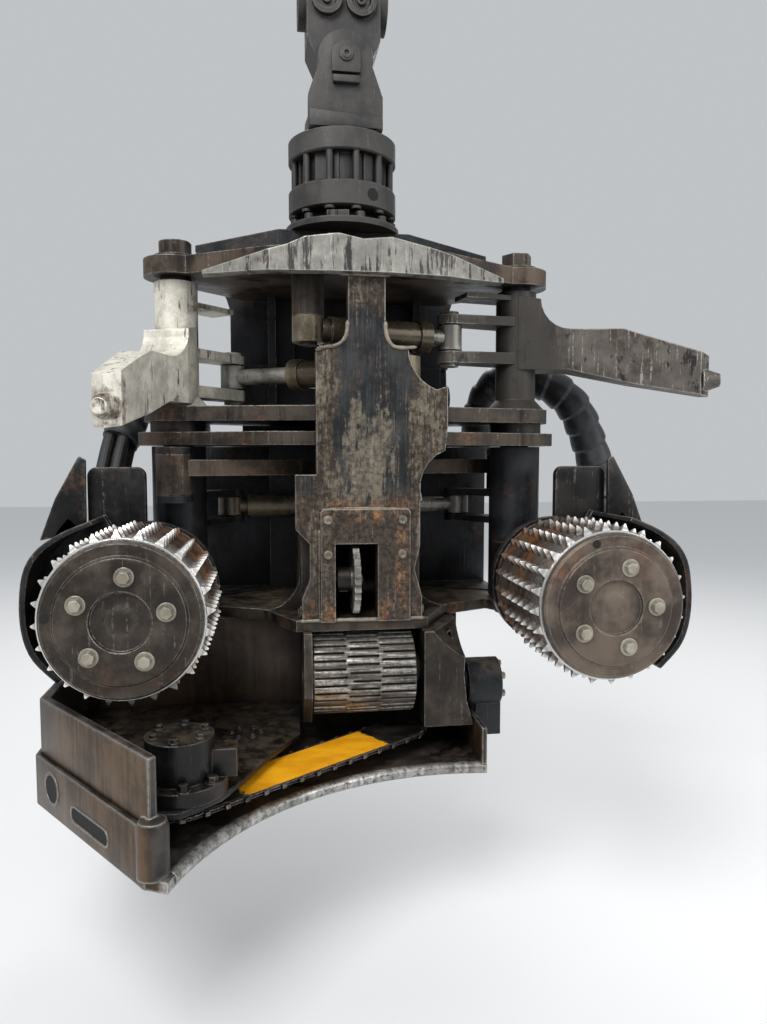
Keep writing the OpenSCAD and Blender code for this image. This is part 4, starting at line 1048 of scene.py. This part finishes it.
# %% Bars on the frame roller
ROLLER_AXIS = Vector((0, LOG_ROLLER_Y, LOG_ROLLER_Z))
BARS = 32
bm = bmesh.new()
turned(bm, [(-0.128, 0), (-0.128, 0.030), (-0.112, 0.030), (-0.112, 0.082), (0.116, 0.082),
            (0.116, 0.030), (0.206, 0.030), (0.206, 0)], ROLLER_AXIS, (1, 0, 0), 48)
BANDS = [(-0.109, -0.036), (-0.037, 0.036), (0.035, 0.113)]
for band, (start, stop) in enumerate(BANDS):
    for k in range(BARS):
        angle = math.tau * (k + (0.5 if band == 1 else 0.0)) / BARS
        out = Vector((0, math.cos(angle), math.sin(angle)))
        stand = Matrix.Translation(ROLLER_AXIS + out * 0.0855) @ Matrix.Rotation(angle, 4, "X")
        worn_by = abs(noise.noise((5.1 * k, 2.7 * band, 0.5)))
        left, right = start - 0.016 * worn_by * (band > 0), stop + 0.016 * worn_by * (band < 2)
        middle = Matrix.Translation(((left + right) / 2, 0, 0))
        size = Matrix.Diagonal((right - left, 0.0150 - 0.003 * worn_by, 0.0130, 1))
        bmesh.ops.create_cube(bm, size=1, matrix=stand @ middle @ size)
soften(bm, 0.0022, angle=60)
hand_over(bm, "frame_roller_bars", "frame_roller", ribbed_steel, ["frame_roller"],
          sharp=40)

# %% [markdown]
# ## Skid lip and saw box
# Logs drag over the skid plate's hollow edge, which has a round bar along it, polished by them. The
# saw box is one folded wall round the motor's plate, closed behind by a plate that follows the
# bottom of the frame. A second, thicker band goes round its foot, with a round hole and a slot for
# the tie-down hooks, whose rims are rolled; inside the rims, near-black discs are painted shade for
# the open hole and slot.

# %% Skid lip
bm = bmesh.new()
lip_arc = arc(HOLLOW, HOLLOW_R + 0.009, 158.5, 82, 18)
lip = smooth_route([(x, y, SKID_Z + 0.0095) for x, y in lip_arc], 0.02)
swept(bm, stations(lip), [0.0125] * len(lip), 14)
hand_over(bm, "skid_lip", "frame", box_steel)

# %% Box walls and the motor's plate
BOX_SIDE, BOX_NOSE, BOX_BACK = (-0.645, -0.560), (-0.390, -0.900), -0.262
BOX_FOOT = SKID_Z + 0.018
WALL_ALONG, WALL_OUT = Vector((0.6, -0.8, 0)), Vector((-0.8, -0.6, 0))


def on_wall(share, z, proud):
    """A frame on the box's slanted wall: a share of the way to its nose, Z outwards."""
    place = Vector((*BOX_SIDE, z)).lerp(Vector((*BOX_NOSE, z)), share) + WALL_OUT * proud
    turn = Matrix((WALL_ALONG, (0, 0, 1), WALL_OUT)).transposed().to_4x4()
    return Matrix.Translation(place) @ turn


bm = bmesh.new()
cut_plate(bm, [BOX_SIDE, BOX_NOSE, (-0.378, -0.888), (-0.6258, -0.5552), (-0.6258, BOX_BACK),
               (BOX_SIDE[0], BOX_BACK)], in_plan(BOX_FOOT), 0.192)
cut_plate(bm, [(BOX_SIDE[0], -1.640), (-0.560, -1.566), (-0.500, -1.5535), (0.256, -1.5535),
               (0.256, SKID_Z), (BOX_SIDE[0], SKID_Z)], in_front(BOX_BACK - 0.0005), 0.012)
cut_plate(bm, [(0.244, -0.548), (0.256, -0.548), (0.256, BOX_BACK), (0.244, BOX_BACK)],
          in_plan(BOX_FOOT), 0.082)
soften(bm, 0.003)
turned(bm, [(0, 0), (0, 0.026), (0.080, 0.026), (0.090, 0.022), (0.094, 0.012), (0.094, 0)],
       (-0.386, -0.892, BOX_FOOT), (0, 0, 1), 32)
hand_over(bm, "saw_box_welded", "frame", box_steel, ["saw_box"], sharp=40)

MOTOR_PLATE_Z, MOTOR_PLATE_T = -1.773, 0.012
bm = bmesh.new()
cut_plate(bm, [(-0.622, BOX_BACK), (-0.622, -0.552), (-0.412, -0.838), (-0.350, -0.836),
               (-0.285, -0.775), (-0.245, -0.700), (-0.204, -0.605), (-0.140, -0.493),
               (-0.130, BOX_BACK)], in_plan(MOTOR_PLATE_Z), MOTOR_PLATE_T)
soften(bm, 0.003, angle=20)
hand_over(bm, "motor_plate_worn", "frame", greasy_steel, ["saw_motor_plate"],
          sharp=40)

# %% Band, hole and slot
bm = bmesh.new()
cut_plate(bm, [(BOX_SIDE[0], BOX_BACK), BOX_SIDE, BOX_NOSE, (-0.398, -0.907), (-0.655, -0.563),
               (-0.655, BOX_BACK)], in_plan(SKID_Z), 0.100)
soften(bm, 0.003)
hand_over(bm, "box_band", "frame", box_steel, sharp=40)

HOLE_AT, SLOT_AT, SLOT_HALF = (0.170, -1.796), (0.545, -1.812), 0.058


def slot_outline(radius, steps):
    right_end = arc((SLOT_HALF, 0), radius, -90, 90, steps)
    return right_end + arc((-SLOT_HALF, 0), radius, 90, 270, steps)


# Painted shade: near-black discs stand in for the hole and the slot.
bm = bmesh.new()
cut_plate(bm, arc((0, 0), 0.026, 0, 345, 23), on_wall(*HOLE_AT, 0.0098), 0.0008)
cut_plate(bm, slot_outline(0.0135, 8), on_wall(*SLOT_AT, 0.0098), 0.0008)
hand_over(bm, "box_hole_shades", "frame", painted_hole_shade)

bm = bmesh.new()
turned(bm, [(0.009, 0.0255), (0.0115, 0.0265), (0.0122, 0.0290), (0.0115, 0.0315), (0.009, 0.0325)],
       on_wall(*HOLE_AT, 0).translation, WALL_OUT, 40)
slot = slot_outline(0.0150, 10)
ring = [on_wall(*SLOT_AT, 0.0100) @ Vector((a, b, 0)) for a, b in slot + slot[:1]]
swept(bm, stations(ring), [0.0026] * len(ring), 8)
hand_over(bm, "box_hole_rims", "frame", box_steel)

# %% [markdown]
# ## Saw chain
# A saw chain is a loop of drive links between pairs of side plates, with a cutter on every fourth
# link. The CAD loop is a plain band. Here each link is a block placed along the bar's
# outline, which is two straights and two half circles, so its place follows from the distance
# run. Only cutters get the raised tooth with its sloped top.

# %% Chain links round the bar
BAR_TIP, BAR_HALF = 0.548, 0.050
LINK_PITCH = 0.0103


def on_bar(run):
    """Place and outward direction on the bar's edge, in the bar's own frame."""
    half_turn = math.pi * BAR_HALF
    run %= 2 * (BAR_TIP + half_turn)
    if run < BAR_TIP:
        return Vector((run, BAR_HALF, 0)), math.pi / 2
    if run < BAR_TIP + half_turn:
        angle = math.pi / 2 - (run - BAR_TIP) / BAR_HALF
        return Vector((BAR_TIP + BAR_HALF * math.cos(angle), BAR_HALF * math.sin(angle), 0)), angle
    if run < 2 * BAR_TIP + half_turn:
        return Vector((2 * BAR_TIP + half_turn - run, -BAR_HALF, 0)), -math.pi / 2
    angle = -math.pi / 2 - (run - 2 * BAR_TIP - half_turn) / BAR_HALF
    return Vector((BAR_HALF * math.cos(angle), BAR_HALF * math.sin(angle), 0)), angle


def saw_chain(name):
    """All links as one mesh, on the bar's own body."""
    bm = bmesh.new()
    bar = Matrix.Translation(BAR_PIVOT + Vector((0, 0, 0.004))) @ Matrix.Rotation(BAR_TURN, 4, "Z")
    around = 2 * (BAR_TIP + math.pi * BAR_HALF)
    count = round(around / LINK_PITCH)
    for k in range(count):
        place, angle = on_bar(around * k / count)
        here = bar @ Matrix.Translation(place) @ Matrix.Rotation(angle, 4, "Z")
        cutter = k % 4 == 0
        low, high = 0.0005, 0.0118 if cutter else 0.0068
        for offset in (0.0026, -0.0026) if k % 2 else (-0.0026, 0.0026):
            size = Matrix.Diagonal((high - low, 0.0095, 0.0011, 1))
            middle = Matrix.Translation((low + (high - low) / 2, 0, offset))
            bmesh.ops.create_cube(bm, size=1, matrix=here @ middle @ size)
        drive = Matrix.Diagonal((0.0040, 0.0090, 0.0026, 1))
        bmesh.ops.create_cube(bm, size=1,
                              matrix=here @ Matrix.Translation((0.0022, LINK_PITCH / 2, 0)) @ drive)
        if cutter:
            lean = Matrix.Rotation(math.radians(8), 4, "Z")
            tooth = lean @ Matrix.Diagonal((0.0016, 0.0100, 0.0072, 1))
            bmesh.ops.create_cube(bm, size=1,
                                  matrix=here @ Matrix.Translation((high - 0.001, 0, 0)) @ tooth)
    hand_over(bm, name, "saw_bar", chain_steel, ["saw_chain"], sharp=25, merge=0)


chain_steel = worn_steel("chain_steel", (0.020, 0.018, 0.017), (0.11, 0.10, 0.09), rust=0.1,
                         streak=0.1, gloss=0.30, bright=0.6, dust=0, corner_shade_reach=0.008)
saw_chain("saw_chain_links")

# %% [markdown]
# ## Weld beads
# The frame is plates welded to each other, and every seam shows a rippled bead that bark has
# polished. A bead is swept along its seam with a radius that swells and sinks every few
# millimetres, with a little noise so that no two ripples match.


# %% Beads along the seams that show
def weld(bm, route, radius=0.0048, ripple=0.0050):
    places = smooth_route(route, ripple / 3)
    frames = stations(places)
    radii = []
    for k, place in enumerate(places):
        swell = 0.80 + 0.26 * abs(math.sin(math.pi * k / 3 + 0.4)) + 0.24 * noise.noise(place * 70)
        end = min(1.0, 0.35 + 0.2 * min(k, len(places) - 1 - k))
        radii.append(radius * swell * end)
    swept(bm, frames, radii, 8)


FACE = -0.4505
SEAMS = [
    [(-0.100, FACE, -0.949), (-0.080, FACE, -0.941), (-0.062, FACE, -0.939), (-0.044, FACE, -0.930),
     (-0.034, FACE, -0.912), (-0.031, FACE, -0.884)],
    [(0.118, FACE, -0.938), (0.084, FACE, -0.940), (0.066, FACE, -0.936), (0.055, FACE, -0.922),
     (0.050, FACE, -0.902), (0.050, FACE, -0.884)],
    [(-0.0935, FACE, -1.530), (-0.0945, FACE, -1.46), (-0.0935, FACE, -1.39),
     (-0.0935, FACE, -1.330)],
    [(-0.090, FACE, -1.2885), (-0.03, FACE, -1.2860), (0.04, FACE, -1.2870),
     (0.103, FACE, -1.2885)],
    [(-0.140, -0.448, -1.530), (-0.06, -0.4515, -1.5285), (0.02, -0.4515, -1.529),
     (0.10, -0.4515, -1.5285), (0.138, -0.448, -1.530)],
    [(-0.1335, -0.436, -1.500), (-0.1335, -0.424, -1.5285), (-0.1345, -0.36, -1.529),
     (-0.134, -0.330, -1.5285)],
    [(0.1335, -0.436, -1.500), (0.1335, -0.424, -1.5285), (0.1345, -0.36, -1.529),
     (0.134, -0.330, -1.5285)],
    [(-0.050, -0.452, -0.7885), (-0.02, -0.4525, -0.7875), (0.02, -0.4525, -0.788),
     (0.060, -0.452, -0.7885)],
]
bm = bmesh.new()
for seam in SEAMS:
    weld(bm, seam)
hand_over(bm, "frame_welds", "frame", weld_metal, sharp=60, merge=0)

# %% [markdown]
# ## Bolts and small hardware
# What is left is a workshop's parts bin: screws in the link's two recesses and in the keeper of
# the swing pin, round heads in the slide plate, and hex bolts on the motors and the valve block.
# Each place is worked out from the part that carries the bolt, and bolts on one body are one mesh.

# %% Screws
bm = bmesh.new()
for x in (-0.044, 0.044):
    place = Vector((x, -0.069, -0.022))
    turned(bm, [(0, 0.0235), (-0.004, 0.0230), (-0.004, 0.0165), (-0.0015, 0.0160),
                (-0.0015, 0.0105),
                (-0.009, 0.0100), (-0.0095, 0.0090), (-0.0095, 0.0048), (-0.005, 0.0046),
                (-0.005, 0)],
           place, (0, 1, 0), 32)
hand_over(bm, "link_screws", "link", cast_steel)

bm = bmesh.new()
turned(bm, [(0, 0.0175), (-0.004, 0.0170), (-0.0045, 0.0130), (-0.0075, 0.0120), (-0.0080, 0.0060),
            (-0.004, 0.0055), (-0.004, 0)], (0, -0.1258, -0.178), (0, 1, 0), 32)
hand_over(bm, "keeper_screw", "rotator", cast_steel)

bm = bmesh.new()
for x in (-0.076, 0.086):
    for z in (-1.310, -1.385):
        turned(bm, [(0.004, 0.0115), (0.0, 0.0115), (-0.003, 0.0095), (-0.004, 0.006),
                    (-0.0025, 0.0045), (-0.0025, 0)], (x, -0.4603, z), (0, 1, 0), 24)
hand_over(bm, "slide_plate_screws", "frame", weld_metal)

# %% Bolt circles on the saw motor and the plate beside it
def bolt_circle(bm, centre, radius, count, across, height, first):
    """Upright bolts round a vertical axis."""
    for k in range(count):
        angle = math.radians(first) + math.tau * k / count
        place = Vector(centre) + Vector((radius * math.cos(angle), radius * math.sin(angle), 0))
        hex_bolt(bm, place, (0, 0, 1), across, height, 0.003, angle * 2.3)


bm = bmesh.new()
bolt_circle(bm, (BAR_PIVOT.x, BAR_PIVOT.y, -1.7349), 0.072, 8, 0.0170, 0.010, 10)
bolt_circle(bm, (BAR_PIVOT.x, BAR_PIVOT.y, -1.6609), 0.047, 6, 0.0120, 0.007, 25)
bolt_circle(bm, (-0.255, -0.480, MOTOR_PLATE_Z + MOTOR_PLATE_T), 0.030, 6, 0.0100, 0.005, 0)
hand_over(bm, "saw_motor_bolts", "frame", greasy_steel)

# %% Bolts on the frame roller's motor and the valve block
bm = bmesh.new()
for k in range(6):
    angle = math.tau * (k + 0.5) / 6
    place = (0.3183, -0.400 + 0.040 * math.cos(angle), -1.692 + 0.040 * math.sin(angle))
    hex_bolt(bm, place, (1, 0, 0), 0.014, 0.008, 0.002, angle)
for x in (-0.105, -0.063, -0.021, 0.021, 0.063, 0.105):
    for z in (-1.445, -1.385, -1.325, -1.265):
        hex_bolt(bm, (x, 0.1583, z), (0, 1, 0), 0.020, 0.012, 0.003, 0.3 * x + z)
hand_over(bm, "valve_and_motor_bolts", "frame", zinc_steel)
